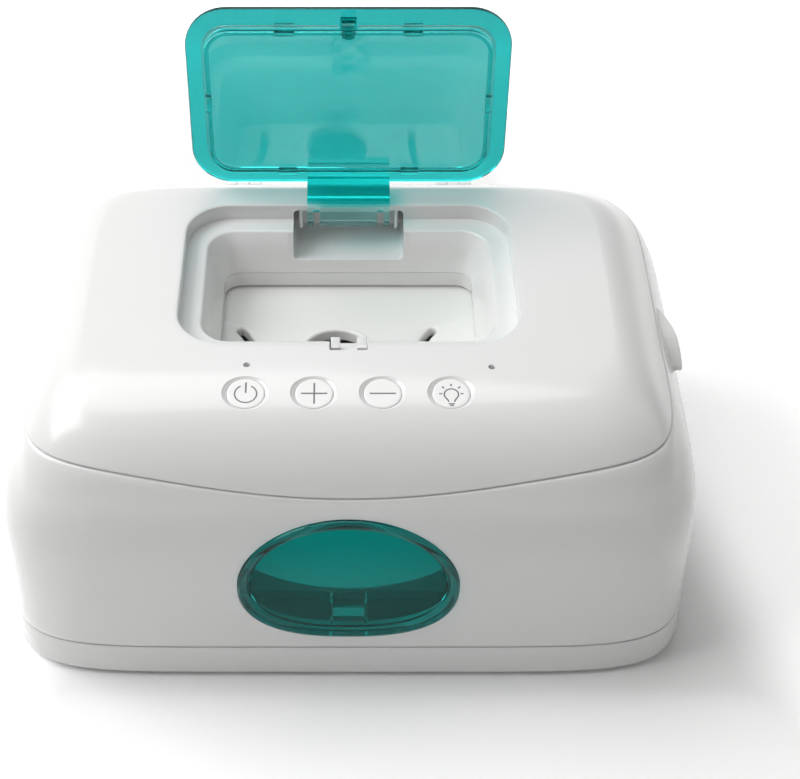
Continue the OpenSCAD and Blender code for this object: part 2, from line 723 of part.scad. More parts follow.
module latch_leg() {
    box(leg_x, [latch_y - leg_half, latch_y + leg_half], [leg_low, cover_seam_z + 6]);
    box([leg_x[0] - 2, leg_x[0] + 0.1], [latch_y - leg_half, latch_y + leg_half],
        [leg_low, leg_low + 2.4]);
}

module opening_collar() {
    inner = [throat_w, throat_l, throat_r];
    sleeve_h = 4;
    slope = funnel_draft / funnel_h;
    outside = well_wall + fit;
    grown = [throat_w + 2 * outside, throat_l + 2 * outside, throat_r + outside];
    color(shell_white) in_recess() difference() {
        union() {
            translate([0, 0, collar_z])
                slab(grown[0] + 3, grown[1] + 3, grown[2] + 1.5, collar_h);
            drafted([grown[0] + 3, grown[1] + 3, grown[2] + 1.5],
                [grown[0] + 3 + 2 * slope * sleeve_h, grown[1] + 3 + 2 * slope * sleeve_h,
                    grown[2] + 1.5], funnel_z - 0.01, sleeve_h);
        }
        translate([0, 0, collar_z - 1]) slab(inner[0], inner[1], inner[2], collar_h + 2);
        translate([0, 0, funnel_z - 0.2]) slab(grown[0], grown[1], grown[2], 0.3);
        drafted(grown, [grown[0] + 2 * slope * (sleeve_h + 1), grown[1] + 2 * slope * (sleeve_h + 1),
            grown[2] + slope], funnel_z, sleeve_h + 1);
        box([-pocket_half - well_wall - fit, pocket_half + well_wall + fit],
            [recess_back - 20.5 - recess_y, recess_back], [pocket_floor - well_wall - fit, deck_z]);
    }
}

module collar_seal() {
    color("lightgray") in_recess() translate([0, 0, collar_z - 0.5]) difference() {
        slab(throat_w + 7, throat_l + 7, throat_r + 3.5, 0.5);
        translate([0, 0, -1]) slab(throat_w + 1, throat_l + 1, throat_r + 0.5, 3);
    }
}

// ---- Controls ------------------------------------------------------------------------------

module control_board() {
    color("seagreen") on_buttons() difference() {
        box(control_x, control_y, [-board_down - board_t, -board_down]);
        for (x = [-screw_x, screw_x], y = [-screw_y, screw_y])
            rod_z(x, y, [-board_down - 9, 0], 1.4);
    }
}

module tact_switches() {
    color("dimgray") on_buttons() for (x = buttons) {
        box([x - 3, x + 3], [-3, 3], [-board_down, -board_down + 2.2]);
        rod_z(x, 0, [-board_down + 2.1, -board_down + 3.2], 1.7);
    }
}

// Height of the tilted board's top surface at a place in Y
function board_top(y) = front_height(button_y) + (y + button_y) * tan(button_tilt)
    - board_down / cos(button_tilt);

module indicator_leds() {
    color("khaki") for (p = led_places) translate([p[0], p[1], board_top(p[1])])
        rotate([button_tilt, 0, 0]) box([-1, 1], [-0.6, 0.6], [0, 0.7]);
}

module light_pipes() {
    color("white") for (p = led_places)
        rod_z(p[0], p[1], [board_top(p[1]) + 1.2, deck_z - 0.4], 0.85);
}

module control_shield() {
    color("gainsboro") on_buttons() difference() {
        union() {
            box([control_x[0] - 2, control_x[1] + 2], [control_y[0] - 1, control_y[1] - 0.6],
                [-shield_down - 1.4, -shield_down]);
            for (x = [-screw_x, screw_x], y = [-screw_y, screw_y])
                rod_z(x, y, [-shield_down - 1, -board_down - board_t], 2.6);
        }
        for (x = [-screw_x, screw_x], y = [-screw_y, screw_y])
            rod_z(x, y, [-shield_down - 3, 0], 1.4);
    }
}

module control_screws() {
    color("silver") on_buttons() for (x = [-screw_x, screw_x], y = [-screw_y, screw_y]) {
        rod_z(x, y, [-shield_down - 1.4, -4], 1.05);
        rod_z(x, y, [-shield_down - 2.8, -shield_down - 1.4], 2.2);
    }
}

module button(x) {
    on_buttons() translate([x, 0, 0]) {
        rod_z(0, 0, [-5, -button_sink], button_r);
        rod_z(0, 0, [-5.8, -4.8], button_r + 1.3);
        rod_z(0, 0, [-board_down + 3.3 + button_travel, -5.7], 2);
    }
}
module power_button() { color(shell_white) button(buttons[0]); }
module plus_button() { color(shell_white) button(buttons[1]); }
module minus_button() { color(shell_white) button(buttons[2]); }
module light_button() { color(shell_white) button(buttons[3]); }

// ---- Flap ----------------------------------------------------------------------------------

// Places what is drawn with the flap shut at its open rest position
module opened() {
    translate([0, axis_y, axis_z]) rotate([-flap_open_angle, 0, 0]) translate([0, -axis_y, -axis_z])
        children();
}
flap_w = recess_w - 2 * flap_gap - 1;
flap_l = recess_l - flap_gap - flap_back_gap;
flap_y = (recess_back - flap_back_gap + recess_front + flap_gap) / 2;
flap_r = recess_r - 0.7;
under_z = deck_z - flap_t;
panel_w = mouth_w - 2;
panel_l = mouth_l - 1.8;
panel_r = mouth_r - 1;
panel_z = under_z - 2.3;
panel_t = 1.2;
spring_x = [10.9, 13.3];

module flap_shell() {
    color(clear_teal) opened() {
        difference() {
            union() {
                translate([0, flap_y, under_z]) slab(flap_w, flap_l, flap_r, flap_t);
                box([-arm_w / 2, arm_w / 2], [recess_back - 13, axis_y + arm_front],
                    [under_z - 1, under_z + 0.1]);
                arm();
            }
            translate([0, 0, 0]) flap_bore(arm_w);
            for (i = [-1, 1]) scale([i, 1, 1])
                box([spring_x[0], spring_x[1]], [axis_y - 5, axis_y + 6],
                    [axis_z - 14, axis_z + 6]);
        }
    }
}

// The gooseneck arm: down from the flap's edge, back under the deck, up to the pin
module arm() {
    low = -11.4;
    translate([-arm_w / 2, axis_y, axis_z]) rotate([90, 0, 90]) linear_extrude(arm_w) {
        translate([arm_front - arm_t, low]) square([arm_t, -low + hinge_drop - flap_t + 0.1]);
        translate([arm_front - arm_t, low]) square([arm_t - arm_front + 3, arm_t]);
        translate([0.4, low]) square([2.6, -low]);
        circle(r = barrel_r);
    }
}

module flap_panel() {
    rim = 1.4;
    color(clear_teal) opened() translate([0, recess_y, 0]) difference() {
        translate([0, 0, under_z - 1 - rim_h]) slab(panel_w, panel_l, panel_r, rim_h - 0.1);
        translate([0, 0, under_z - 2 - rim_h])
            slab(panel_w - 2 * rim, panel_l - 2 * rim, panel_r - rim, rim_h - 0.4);
    }
}

module flap_seal() {
    color("lightgray") opened() translate([0, recess_y, under_z - 1.2]) difference() {
        slab(panel_w + 5.4, panel_l + 3.6, panel_r + 1.8, 1.1);
        translate([0, 0, -1]) slab(panel_w + 0.6, panel_l + 0.6, panel_r + 0.3, 4);
        box([-arm_w / 2 - fit, arm_w / 2 + fit], [0, recess_l], [-2, 4]);
        box([-3.4, 3.4], [-recess_l, 0], [-2, 4]);
    }
}

hook_y = recess_front + 5.4;
hook_low = ledge_z - 3.8;
module flap_hook() {
    color(clear_teal) opened() {
        box([-2.3, 2.3], [hook_y, hook_y + 1.9], [hook_low, under_z]);
        box([-2.3, 2.3], [hook_y - 2, hook_y + 0.1], [hook_low, hook_low + 1.8]);
    }
}

module flap_hinge_pin() {
    color("silver") rod_x([-pocket_half - 1.6, pocket_half + 1.6], axis_y, axis_z, flap_pin_r);
}

module flap_springs() {
    color("silver") for (i = [-1, 1])
        translate([i > 0 ? spring_x[0] + 0.15 : -spring_x[1] + 0.15, axis_y, axis_z])
            rotate([0, 90, 0]) coil(flap_pin_r + 0.65, 0.25, spring_x[1] - spring_x[0] - 0.3, 2);
}

// ---- Flap catch ----------------------------------------------------------------------------

catch_front = recess_front - 3.1;
catch_low = ledge_z - 4.9;
module flap_catch() {
    lip_end = hook_y - 0.5;
    color("whitesmoke") {
        box([-6.2, 6.2], [catch_front, catch_front + 1.3], [catch_low, deck_z - 2.4]);
        box([-6.2, 6.2], [catch_front, recess_front + 1.6], [catch_low, catch_low + 0.8]);
        for (i = [-1, 1]) scale([i, 1, 1]) {
            box([2.9, 6.2], [catch_front, recess_front + 4.1], [catch_low, under_z - 0.8]);
            box([2.9, 6.2], [catch_front, recess_front + 0.4], [catch_low, deck_z - 1.2]);
        }
        box([-3, 3], [catch_front, lip_end], [hook_low + 2.2, hook_low + 3.6]);
    }
}

module catch_spring() {
    color("silver") translate([0, notch_front - 2 + 0.02, catch_low + 3.4]) rotate([-90, 0, 0])
        coil(1.5, 0.25, catch_front - notch_front + 2 - 0.04, 4);
}

// ---- Cover latch ---------------------------------------------------------------------------

module cover_latch() {
    stem_x = leg_x[1] + 3;
    back = latch_y + latch_half;
    front = latch_y - latch_half;
    skin_x = [half_w - side_in(tab_z[0], 0) - 0.4, half_w - side_in(tab_z[1], 0) + 0.3];
    wall_x = half_w - side_in(latch_z + 2, wall) - 0.5;
    color(shell_white) {
        // The stem that fills the opening
        hull() {
            box([stem_x, skin_x[0]], [front, back], [tab_z[0], tab_z[0] + 1]);
            box([stem_x, skin_x[1]], [front, back], [tab_z[1] - 1, tab_z[1]]);
        }
        // The tab outside it: a wedge that grows towards the front and ends in a ramp
        hull() {
            box([stem_x + 2, skin_x[1] + 2.9], [back - 1, back], [tab_z[1] - 4, tab_z[1]]);
            box([stem_x + 2, skin_x[1] + 7.8], [front + 6, front + 7], [tab_z[0], tab_z[1]]);
            box([stem_x + 2, skin_x[1] + 9.4], [front, front + 0.8], [tab_z[0], tab_z[0] + 1.5]);
        }
        // Frame round the cover's leg, with the ledge that holds its nose
        for (j = [-1, 1]) box([arm_in_x, stem_x + 1],
            [latch_y + j * (frame_half - 1) - 1, latch_y + j * (frame_half - 1) + 1],
            [tab_z[0] - 0.2, latch_z + 2.7]);
        box([arm_in_x, leg_x[0] - 0.6], [latch_y - frame_half, latch_y + frame_half],
            [leg_low + 2.8, latch_z + 2.7]);
        // Lugs that the springs push on, which stop against the wall
        for (j = [-1, 1]) box([leg_x[1] + 1, wall_x],
            [j > 0 ? latch_y + frame_half : latch_y - latch_half - 5,
             j > 0 ? latch_y + latch_half + 5 : latch_y - frame_half],
            [latch_z - 2.7, latch_z + 1.5]);
    }
}

module latch_springs() {
    start = arm_in_x + 1;
    color("silver") for (j = [-1, 1])
        translate([start + 0.02, latch_y + j * (latch_half + 2.6), latch_z - 1.2]) rotate([0, 90, 0])
            coil(1.6, 0.3, leg_x[1] + 1 - start - 0.04, 5);
}

// ---- Show --------------------------------------------------------------------------------------

base_pan();
rubber_feet();
base_screws();
side_shell();
front_window();
light_diffuser();
night_light_board();
light_screws();
wipe_bin();
wipe_plate();
heater_tray();
tray_screws();
heater_plate();
heater_mat();
insulation_pad();
thermal_cutout();
temperature_sensor();
power_board();
board_screws();
dc_inlet();
inlet_leads();
heater_leads();
latch_springs();
cover_hinge_pins();
top_cover();
opening_collar();
collar_seal();
control_board();
tact_switches();
indicator_leds();
light_pipes();
control_shield();
control_screws();
flap_hinge_pin();
flap_springs();
catch_spring();
flap_shell();
flap_panel();
flap_seal();
flap_hook();
flap_catch();
power_button();
plus_button();
minus_button();
light_button();
cover_latch();
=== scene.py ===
import math
from functools import partial

import bmesh
import bpy
from mathutils import Matrix, Vector


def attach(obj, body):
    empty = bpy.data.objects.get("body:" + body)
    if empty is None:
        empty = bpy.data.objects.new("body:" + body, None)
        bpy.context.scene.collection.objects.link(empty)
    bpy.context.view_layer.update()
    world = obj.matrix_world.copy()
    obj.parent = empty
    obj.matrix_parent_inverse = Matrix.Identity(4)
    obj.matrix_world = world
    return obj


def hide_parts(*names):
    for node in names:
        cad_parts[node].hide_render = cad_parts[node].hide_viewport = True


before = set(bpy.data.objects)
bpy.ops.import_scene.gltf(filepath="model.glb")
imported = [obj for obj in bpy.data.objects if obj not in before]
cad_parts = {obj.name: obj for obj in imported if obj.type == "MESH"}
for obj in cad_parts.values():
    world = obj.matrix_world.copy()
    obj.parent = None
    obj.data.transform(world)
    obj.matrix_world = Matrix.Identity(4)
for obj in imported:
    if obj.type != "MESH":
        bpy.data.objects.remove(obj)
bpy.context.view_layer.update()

# ---- Base pan ----------------------------------------------------------------------------------
# The white dish that everything stands in. Injection-moulded glossy plastic, a thin seam below the
# side shell, with a lip that turns under to the floor and openings for the feet, screws and inlet.

HALF_W, HALF_D, DECK = 125.0, 87.5, 115.0
WIDEST, CORNER = 57.0, 7.4
FRONT_DEPTH, FRONT_ROOT = 44.0, 2.6
WALL, SEAM_GAP = 2.5, 0.6
FOOT_H, BASE_SEAM = 1.2, 16.5
AROUND = 320


def shoulder(t, power, root):
    """Share of the shoulder's width that is lost at a share t of its height"""
    return 1 - max(0.0, 1 - t**power) ** (1 / root)


def inset(z, skin, front):
    """How far in the body's wall lies at a height, measured from its widest level"""
    t = min(1.0, max(0.0, (z - WIDEST) / (DECK - skin - WIDEST)))
    flare = -1.5 * ((WIDEST - z) / WIDEST) ** 2 if z < WIDEST else 0.0
    curve = FRONT_DEPTH * shoulder(t, 2.0, FRONT_ROOT) if front else 32 * shoulder(t, 2.1, 1.5)
    return skin + flare + curve


def corner_direction(angle):
    """A point of the unit superellipse, crowded towards its corners"""
    turn = angle % (2 * math.pi)
    q, part = divmod(turn / (math.pi / 4), 1)
    s = part if q % 2 == 0 else 1 - part
    v = 0.5 ** (1 / CORNER) * (1 - (1 - s) ** 1.7)
    u = (1 - v**CORNER) ** (1 / CORNER)
    return ((u, v), (v, u), (-v, u), (-u, v), (-u, -v), (-v, -u), (v, -u), (u, -v))[int(q)]


def body_point(angle, z, skin):
    x, y = corner_direction(angle)
    return Vector((x * (HALF_W - inset(z, skin, False)), y * (HALF_D - inset(z, skin, y < 0)), z))


def skin_through(rings, around=AROUND):
    """A closed tube of mesh whose rows follow the rings; each ring is a function of the angle"""
    bm = bmesh.new()
    rows = len(rings)
    bmesh.ops.create_grid(bm, x_segments=around, y_segments=rows - 1, size=0.5)
    for v in bm.verts:
        ring = rings[round((v.co.y + 0.5) * (rows - 1))]
        v.co = ring(2 * math.pi * (v.co.x + 0.5))
    bmesh.ops.remove_doubles(bm, verts=bm.verts, dist=0.0005)
    bmesh.ops.recalc_face_normals(bm, faces=bm.faces)
    return bm


def level(z, skin):
    return lambda a: body_point(a, z, skin)


def centre(x, y, z):
    return lambda a: Vector((x, y, z))


def rings(kind, *sizes):
    """Rings of one kind, one for each set of sizes"""
    return [kind(*size) for size in sizes]


def linked(name, data):
    """A new object in the scene"""
    thing = bpy.data.objects.new(name, data)
    bpy.context.scene.collection.objects.link(thing)
    return thing


def holder(bm, name="shape"):
    """An object that takes the mesh over"""
    mesh = bpy.data.meshes.new(name)
    bm.to_mesh(mesh)
    bm.free()
    return linked(name, mesh)


def carve(body, *tools, how="DIFFERENCE"):
    """The body with the closed tools cut out of it, or joined to it"""
    things = [holder(shape) for shape in (body, *tools)]
    for tool in things[1:]:
        cut = things[0].modifiers.new("cut", "BOOLEAN")
        cut.operation, cut.object, cut.solver = how, tool, "EXACT"
    bm = bmesh.new()
    bm.from_object(things[0], bpy.context.evaluated_depsgraph_get())
    for thing in things:
        mesh = thing.data
        bpy.data.objects.remove(thing)
        bpy.data.meshes.remove(mesh)
    return bm


def join(*shapes):
    """Several meshes as one"""
    bm = shapes[0]
    for shape in shapes[1:]:
        mesh = bpy.data.meshes.new("part")
        shape.to_mesh(mesh)
        shape.free()
        bm.from_mesh(mesh)
        bpy.data.meshes.remove(mesh)
    return bm


def round_off(bm, edges, offset, segments=2, **options):
    bmesh.ops.bevel(bm, geom=edges, offset=offset, offset_type="OFFSET", segments=segments,
                    profile=0.5, affect="EDGES", material=-1, **options)


def block(x, y, z, soften=0.0, segments=2):
    """A block between two corners with softened edges"""
    bm = bmesh.new()
    bmesh.ops.create_cube(bm, size=1)
    low, high = Vector((x[0], y[0], z[0])), Vector((x[1], y[1], z[1]))
    bmesh.ops.scale(bm, vec=high - low, verts=bm.verts)
    bmesh.ops.translate(bm, vec=(low + high) / 2, verts=bm.verts)
    if soften:
        round_off(bm, bm.edges, soften, segments)
    return bm


def turned(profile, steps=64):
    """A lathed solid about +Z; the profile is a list of (radius, height) from axis to axis"""
    bm = bmesh.new()
    verts = [bm.verts.new((r, 0, z)) for r, z in profile]
    edges = [bm.edges.new(pair) for pair in zip(verts, verts[1:])]
    bmesh.ops.spin(bm, geom=verts + edges, cent=(0, 0, 0), axis=(0, 0, 1), dvec=(0, 0, 0),
                   angle=2 * math.pi, steps=steps, use_merge=True, use_normal_flip=False, use_duplicate=False)
    bmesh.ops.remove_doubles(bm, verts=bm.verts, dist=0.0005)
    bmesh.ops.recalc_face_normals(bm, faces=bm.faces)
    return bm


def rod(radius, low, high, steps=48):
    return turned([(0, low), (radius, low), (radius, high), (0, high)], steps)


def placed(bm, matrix):
    bmesh.ops.transform(bm, matrix=matrix, verts=bm.verts)
    return bm


def move(x, y, z):
    return Matrix.Translation((x, y, z))


ALONG_X = Matrix.Rotation(math.radians(90), 4, "Y")
ALONG_Y = Matrix.Rotation(math.radians(-90), 4, "X")


def piece(name, bm, material, body, stands_for=(), crease=32, second=None, chosen=None):
    """Finishes a mesh made in millimetres; chosen faces get a second material"""
    for f in bm.faces if second else ():
        f.material_index = int(chosen(f.calc_center_median()))
    bmesh.ops.scale(bm, vec=(0.001, 0.001, 0.001), verts=bm.verts)
    thing = holder(bm, name)
    mesh = thing.data
    mesh.shade_smooth()
    mesh.set_sharp_from_angle(angle=math.radians(crease))
    mesh.materials.append(material)
    if second:
        mesh.materials.append(second)
    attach(thing, body)
    if stands_for:
        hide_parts(*stands_for)


def new_group(name, inputs, outputs):
    """An empty shader node group with named sockets"""
    group = bpy.data.node_groups.new(name, "ShaderNodeTree")
    for label, kind, value in inputs:
        sock = group.interface.new_socket(label, in_out="INPUT", socket_type=kind)
        if value is not None:
            sock.default_value = value
    for label, kind in outputs:
        group.interface.new_socket(label, in_out="OUTPUT", socket_type=kind)
    return group, group.nodes.new("NodeGroupInput"), group.nodes.new("NodeGroupOutput")


# Moulded surface: a faint waviness, cloudy roughness and a little shade in the colour
moulded, m_in, m_out = new_group(
    "moulded_surface",
    [("Color", "NodeSocketColor", (0.8, 0.8, 0.8, 1)), ("Roughness", "NodeSocketFloat", 0.2),
     ("Cloud", "NodeSocketFloat", 0.05), ("Ripple", "NodeSocketFloat", 0.02), ("Grain", "NodeSocketFloat", 900.0)],
    [("Color", "NodeSocketColor"), ("Roughness", "NodeSocketFloat"), ("Normal", "NodeSocketVector")])
place = moulded.nodes.new("ShaderNodeTexCoord")
broad = moulded.nodes.new("ShaderNodeTexNoise")
broad.inputs["Scale"].default_value = 22
broad.inputs["Detail"].default_value = 3
fine = moulded.nodes.new("ShaderNodeTexNoise")
fine.inputs["Detail"].default_value = 2
spread = moulded.nodes.new("ShaderNodeMath")
spread.operation = "MULTIPLY_ADD"
shade = moulded.nodes.new("ShaderNodeMapRange")
shade.inputs["To Min"].default_value = 0.97
shade.inputs["To Max"].default_value = 1.0
tint = moulded.nodes.new("ShaderNodeVectorMath")
tint.operation = "SCALE"
bump = moulded.nodes.new("ShaderNodeBump")
bump.inputs["Distance"].default_value = 0.0002
for a, b in ((place.outputs["Object"], broad.inputs["Vector"]), (place.outputs["Object"], fine.inputs["Vector"]),
             (m_in.outputs["Grain"], fine.inputs["Scale"]), (broad.outputs["Fac"], spread.inputs[0]),
             (m_in.outputs["Cloud"], spread.inputs[1]), (m_in.outputs["Roughness"], spread.inputs[2]),
             (broad.outputs["Fac"], shade.inputs["Value"]), (m_in.outputs["Color"], tint.inputs[0]),
             (shade.outputs["Result"], tint.inputs["Scale"]), (fine.outputs["Fac"], bump.inputs["Height"]),
             (m_in.outputs["Ripple"], bump.inputs["Strength"]), (tint.outputs["Vector"], m_out.inputs["Color"]),
             (spread.outputs["Value"], m_out.inputs["Roughness"]), (bump.outputs["Normal"], m_out.inputs["Normal"])):
    moulded.links.new(a, b)


def plastic(name, color, rough, cloud=0.04, ripple=0.04, grain=900, coat=0.0, **sockets):
    """A moulded plastic, rubber or metal finish built on the moulded surface"""
    mat = bpy.data.materials.new(name)
    mat.use_nodes = True
    nodes, links = mat.node_tree.nodes, mat.node_tree.links
    bsdf = nodes["Principled BSDF"]
    skin = nodes.new("ShaderNodeGroup")
    skin.node_tree = moulded
    skin.inputs["Color"].default_value = (*color, 1)
    skin.inputs["Roughness"].default_value = rough
    skin.inputs["Cloud"].default_value = cloud
    skin.inputs["Ripple"].default_value = ripple
    skin.inputs["Grain"].default_value = grain
    links.new(skin.outputs["Color"], bsdf.inputs["Base Color"])
    links.new(skin.outputs["Roughness"], bsdf.inputs["Roughness"])
    links.new(skin.outputs["Normal"], bsdf.inputs["Normal"])
    bsdf.inputs["Coat Weight"].default_value = coat
    bsdf.inputs["Coat Roughness"].default_value = 0.08
    for label, value in sockets.items():
        bsdf.inputs[label.replace("_", " ")].default_value = value
    return mat


WHITE = (0.80, 0.80, 0.795)
gloss_white = plastic("gloss_white_plastic", WHITE, 0.2, 0.06, 0.015, 260, coat=0.25)

rim_z = BASE_SEAM - SEAM_GAP / 2
pan = skin_through([centre(0, 0, FOOT_H), *rings(
    level, (FOOT_H, 30), (FOOT_H, 2.6), (FOOT_H + 0.05, 1.9), (FOOT_H + 0.35, 1.1), (FOOT_H + 0.8, 0.5), (FOOT_H + 1.4, 0.12),
    (FOOT_H + 2, 0), (6, 0), (11, 0), (rim_z - 0.5, 0), (rim_z - 0.12, 0.12), (rim_z, 0.5), (rim_z, WALL), (rim_z - 6, WALL),
    (FOOT_H + WALL + 1, WALL), (FOOT_H + WALL, WALL + 1), (FOOT_H + WALL, 30)), centre(0, 0, FOOT_H + WALL)])
FEET = [(x, y) for x in (-96, 96) for y in (-60, 60)]
BOSSES = [(x, y) for x in (-106, 106) for y in (-66, 66)]
inlet_x, inlet_z = 70.0, 9.4
inlet_back = HALF_D - inset(inlet_z, 0, False) - 1
tools = [placed(rod(8.3, FOOT_H - 1, FOOT_H + 0.8), move(x, y, 0)) for x, y in FEET]
tools += [placed(rod(3.2, FOOT_H - 1, FOOT_H + 3.4, 32), move(x, y, 0)) for x, y in BOSSES]
tools += [block((14 * i - 2, 14 * i + 2), (28, 58), (0, 6), 0.9, 3) for i in range(-3, 4)]
tools += [placed(rod(4.2, inlet_back - 13, HALF_D + 9), move(inlet_x, 0, inlet_z) @ ALONG_Y)]
pan = carve(pan, *tools)
pan = join(pan, *[placed(turned([(1.7, 4.4), (4.5, 4.4), (4.5, 15.5), (1.7, 15.5), (1.7, 4.4)], 32), move(x, y, 0))
                  for x, y in BOSSES])
piece("base_pan_shell", pan, gloss_white, "base", ["base_pan"])

# ---- Rubber feet -------------------------------------------------------------------------------
# Four moulded rubber discs glued into rings in the floor of the base pan. The rim is rounded and
# the sole has a shallow ring, so that the appliance doesn't slide.

soft_rubber = plastic("grey_rubber", (0.09, 0.09, 0.09), 0.62, 0.2, 0.5, 2600)
sole = [(0, 0.35), (3.6, 0.35), (4.2, 0), (6.9, 0), (7.6, 0.15), (7.9, 0.5), (8, 1), (8, 1.9), (0, 1.9)]
feet = join(*[placed(turned(sole, 48), move(x, y, 0)) for x, y in FEET])
piece("feet", feet, soft_rubber, "base", ["rubber_feet"])

# ---- Side shell --------------------------------------------------------------------------------
# The white ring of wall between base pan and top cover. One glossy moulding: its upper edge dips
# at the front, the night light's window is let into the front and the latch comes out at the right.

SEAM, SEAM_DIP = 99.0, 10.0


def seam_at(angle):
    x, y = corner_direction(angle)
    return SEAM - (SEAM_DIP * (0.5 + 0.5 * math.cos(math.pi * min(1, abs(x) / 0.98))) if y < 0 else 0)


low_z = BASE_SEAM + SEAM_GAP / 2


def wall_ring(share, skin, drop=0.0):
    """A ring of the side wall, a share of the way from the base seam up to the cover's seam"""
    def ring(angle):
        top = seam_at(angle) - SEAM_GAP / 2
        return body_point(angle, low_z + share * (top - low_z) - drop, skin)
    return ring


rows = [k / 36 for k in range(1, 36)]
side = skin_through(
    [level(low_z, WALL), level(low_z, 0.5), level(low_z + 0.12, 0.12), level(low_z + 0.5, 0)]
    + [wall_ring(f, 0) for f in rows]
    + [wall_ring(1, 0, 0.45), wall_ring(1, 0.1, 0.14), wall_ring(1, 0.42), wall_ring(1, WALL)]
    + [wall_ring(f, WALL) for f in reversed(rows[::3])] + [level(low_z, WALL)])

WINDOW_W, WINDOW_Z = 38.8, 50.0
# Power and height of the window's upper and lower half
UPPER, LOWER = (2.04, 31.6), (2.5, 26.6)


def window_outline(angle, grow=0.0, share=1.0):
    """The window's edge in X and Z: two half superellipses that share their widest level"""
    c, s = math.cos(angle), math.sin(angle)
    power, tall = UPPER if s >= 0 else LOWER
    k = (abs(c) ** power + abs(s) ** power) ** (-1 / power)
    return share * (WINDOW_W + grow) * c * k, WINDOW_Z + share * (tall + grow) * s * k


def front_at(x, z):
    return -(HALF_D - inset(z, 0, True)) * (1 - (abs(x) / HALF_W) ** CORNER) ** (1 / CORNER)


def window_ring(share, grow, depth):
    def ring(angle):
        x, z = window_outline(angle, grow, share)
        return Vector((x, front_at(x, z) + depth, z))
    return ring


def window_prism(near, far, grow):
    def ring(y):
        return lambda a: Vector((window_outline(a, grow)[0], y, window_outline(a, grow)[1]))
    return skin_through([centre(0, near, WINDOW_Z), ring(near), ring(far), centre(0, far, WINDOW_Z)], 192)


LATCH_Y, LATCH_HALF = -4.6, 12.2
TAB_Z = (SEAM - 11.8, SEAM - 2.6)
latch_gap = block((108.5, 140), (LATCH_Y - LATCH_HALF - 0.3, LATCH_Y + LATCH_HALF + 0.3),
                  (TAB_Z[0] - 0.3, TAB_Z[1] + 0.3), 0.5, 2)
side = carve(side, window_prism(-HALF_D - 5, -HALF_D + 20, 0.3), latch_gap)
HINGE_OUT = 3.6
HINGE_Y = HALF_D - inset(SEAM, 0, False) + HINGE_OUT
HINGE_X, KNUCKLE, PIN_HOLE = 42.0, 2.4, 1.05


def knuckle(x_span, side_sign):
    """One barrel of the cover's hinge, with the web that joins it to its shell"""
    inner = HINGE_Y - HINGE_OUT - (3.4 if side_sign > 0 else 0.7)
    ring = [(PIN_HOLE, x_span[0]), (KNUCKLE - 0.3, x_span[0]), (KNUCKLE, x_span[0] + 0.3), (KNUCKLE, x_span[1] - 0.3),
            (KNUCKLE - 0.3, x_span[1]), (PIN_HOLE, x_span[1]), (PIN_HOLE, x_span[0])]
    barrel = placed(turned(ring, 48), move(0, HINGE_Y, SEAM) @ ALONG_X)
    web_z = (SEAM + 0.9, SEAM + KNUCKLE) if side_sign > 0 else (SEAM - KNUCKLE, SEAM - 0.9)
    web = block(x_span, (inner, HINGE_Y - 1.2), web_z, 0.25)
    return join(barrel, web)


leaves = [placed(knuckle(s, -1), move(i * HINGE_X, 0, 0)) for i in (-1, 1) for s in ((-7, -2.6), (2.6, 7))]
arm_x = HALF_W - 26
shelf_z = TAB_Z[0] - 0.6
inner_parts = [block((arm_x - 1.5, HALF_W - inset(shelf_z, 0, False) - 1),
                     (LATCH_Y - LATCH_HALF - 6, LATCH_Y + LATCH_HALF + 6), (shelf_z - 1.6, shelf_z), 0.2)]
for j in (-1, 1):
    y = LATCH_Y + j * (LATCH_HALF + 2.6)
    inner_parts.append(block((arm_x - 1, arm_x + 1), (y - 2.4, y + 2.4), (shelf_z - 0.5, shelf_z + 5.6), 0.2))
for x, y in BOSSES:
    inner_parts.append(placed(rod(4.5, BASE_SEAM - 0.7, BASE_SEAM + 16, 32), move(x, y, 0)))
piece("side_wall", join(side, *leaves, *inner_parts), gloss_white, "base", ["side_shell"])

# ---- Night light window ------------------------------------------------------------------------
# A deep teal see-through oval in the front, pushed in from behind against its flange. It bulges a
# little, and a clip box at its foot and the bowed diffuser behind it show through.

BEAD, FLANGE = 3.3, 1.8


def calc(tree, operation, *values):
    """A Math node whose inputs are sockets or plain numbers"""
    node = tree.nodes.new("ShaderNodeMath")
    node.operation = operation
    for k, value in enumerate(values):
        if isinstance(value, float):
            node.inputs[k].default_value = value
        else:
            tree.links.new(value, node.inputs[k])
    return node.outputs["Value"]


def blend(tree, factor, first, second, end):
    """Mixes two shaders by a factor into the tree's last node"""
    mix = tree.nodes.new("ShaderNodeMixShader")
    for source, socket in ((factor, "Fac"), (first, 1), (second, 2)):
        tree.links.new(source, mix.inputs[socket])
    tree.links.new(mix.outputs["Shader"], tree.nodes[end].inputs["Surface"])


def clear_plastic(name, color, rough=0.03, ior=1.46, shade=0.8, glint=(1, 1, 1), cast=0.3):
    """See-through tinted plastic; its shadow is tinted too, so that light reaches what lies behind"""
    mat = plastic(name, color, rough, 0.02, 0.0, 180, Transmission_Weight=1.0, IOR=ior, Specular_Tint=(*glint, 1))
    tree = mat.node_tree
    pass_through = tree.nodes.new("ShaderNodeBsdfTransparent")
    pass_through.inputs["Color"].default_value = (*[shade * c ** cast for c in color], 1)
    ray = tree.nodes.new("ShaderNodeLightPath").outputs
    dim = calc(tree, "MAXIMUM", ray["Is Shadow Ray"], ray["Is Diffuse Ray"])
    blend(tree, dim, tree.nodes["Principled BSDF"].outputs["BSDF"], pass_through.outputs["BSDF"], "Material Output")
    return mat


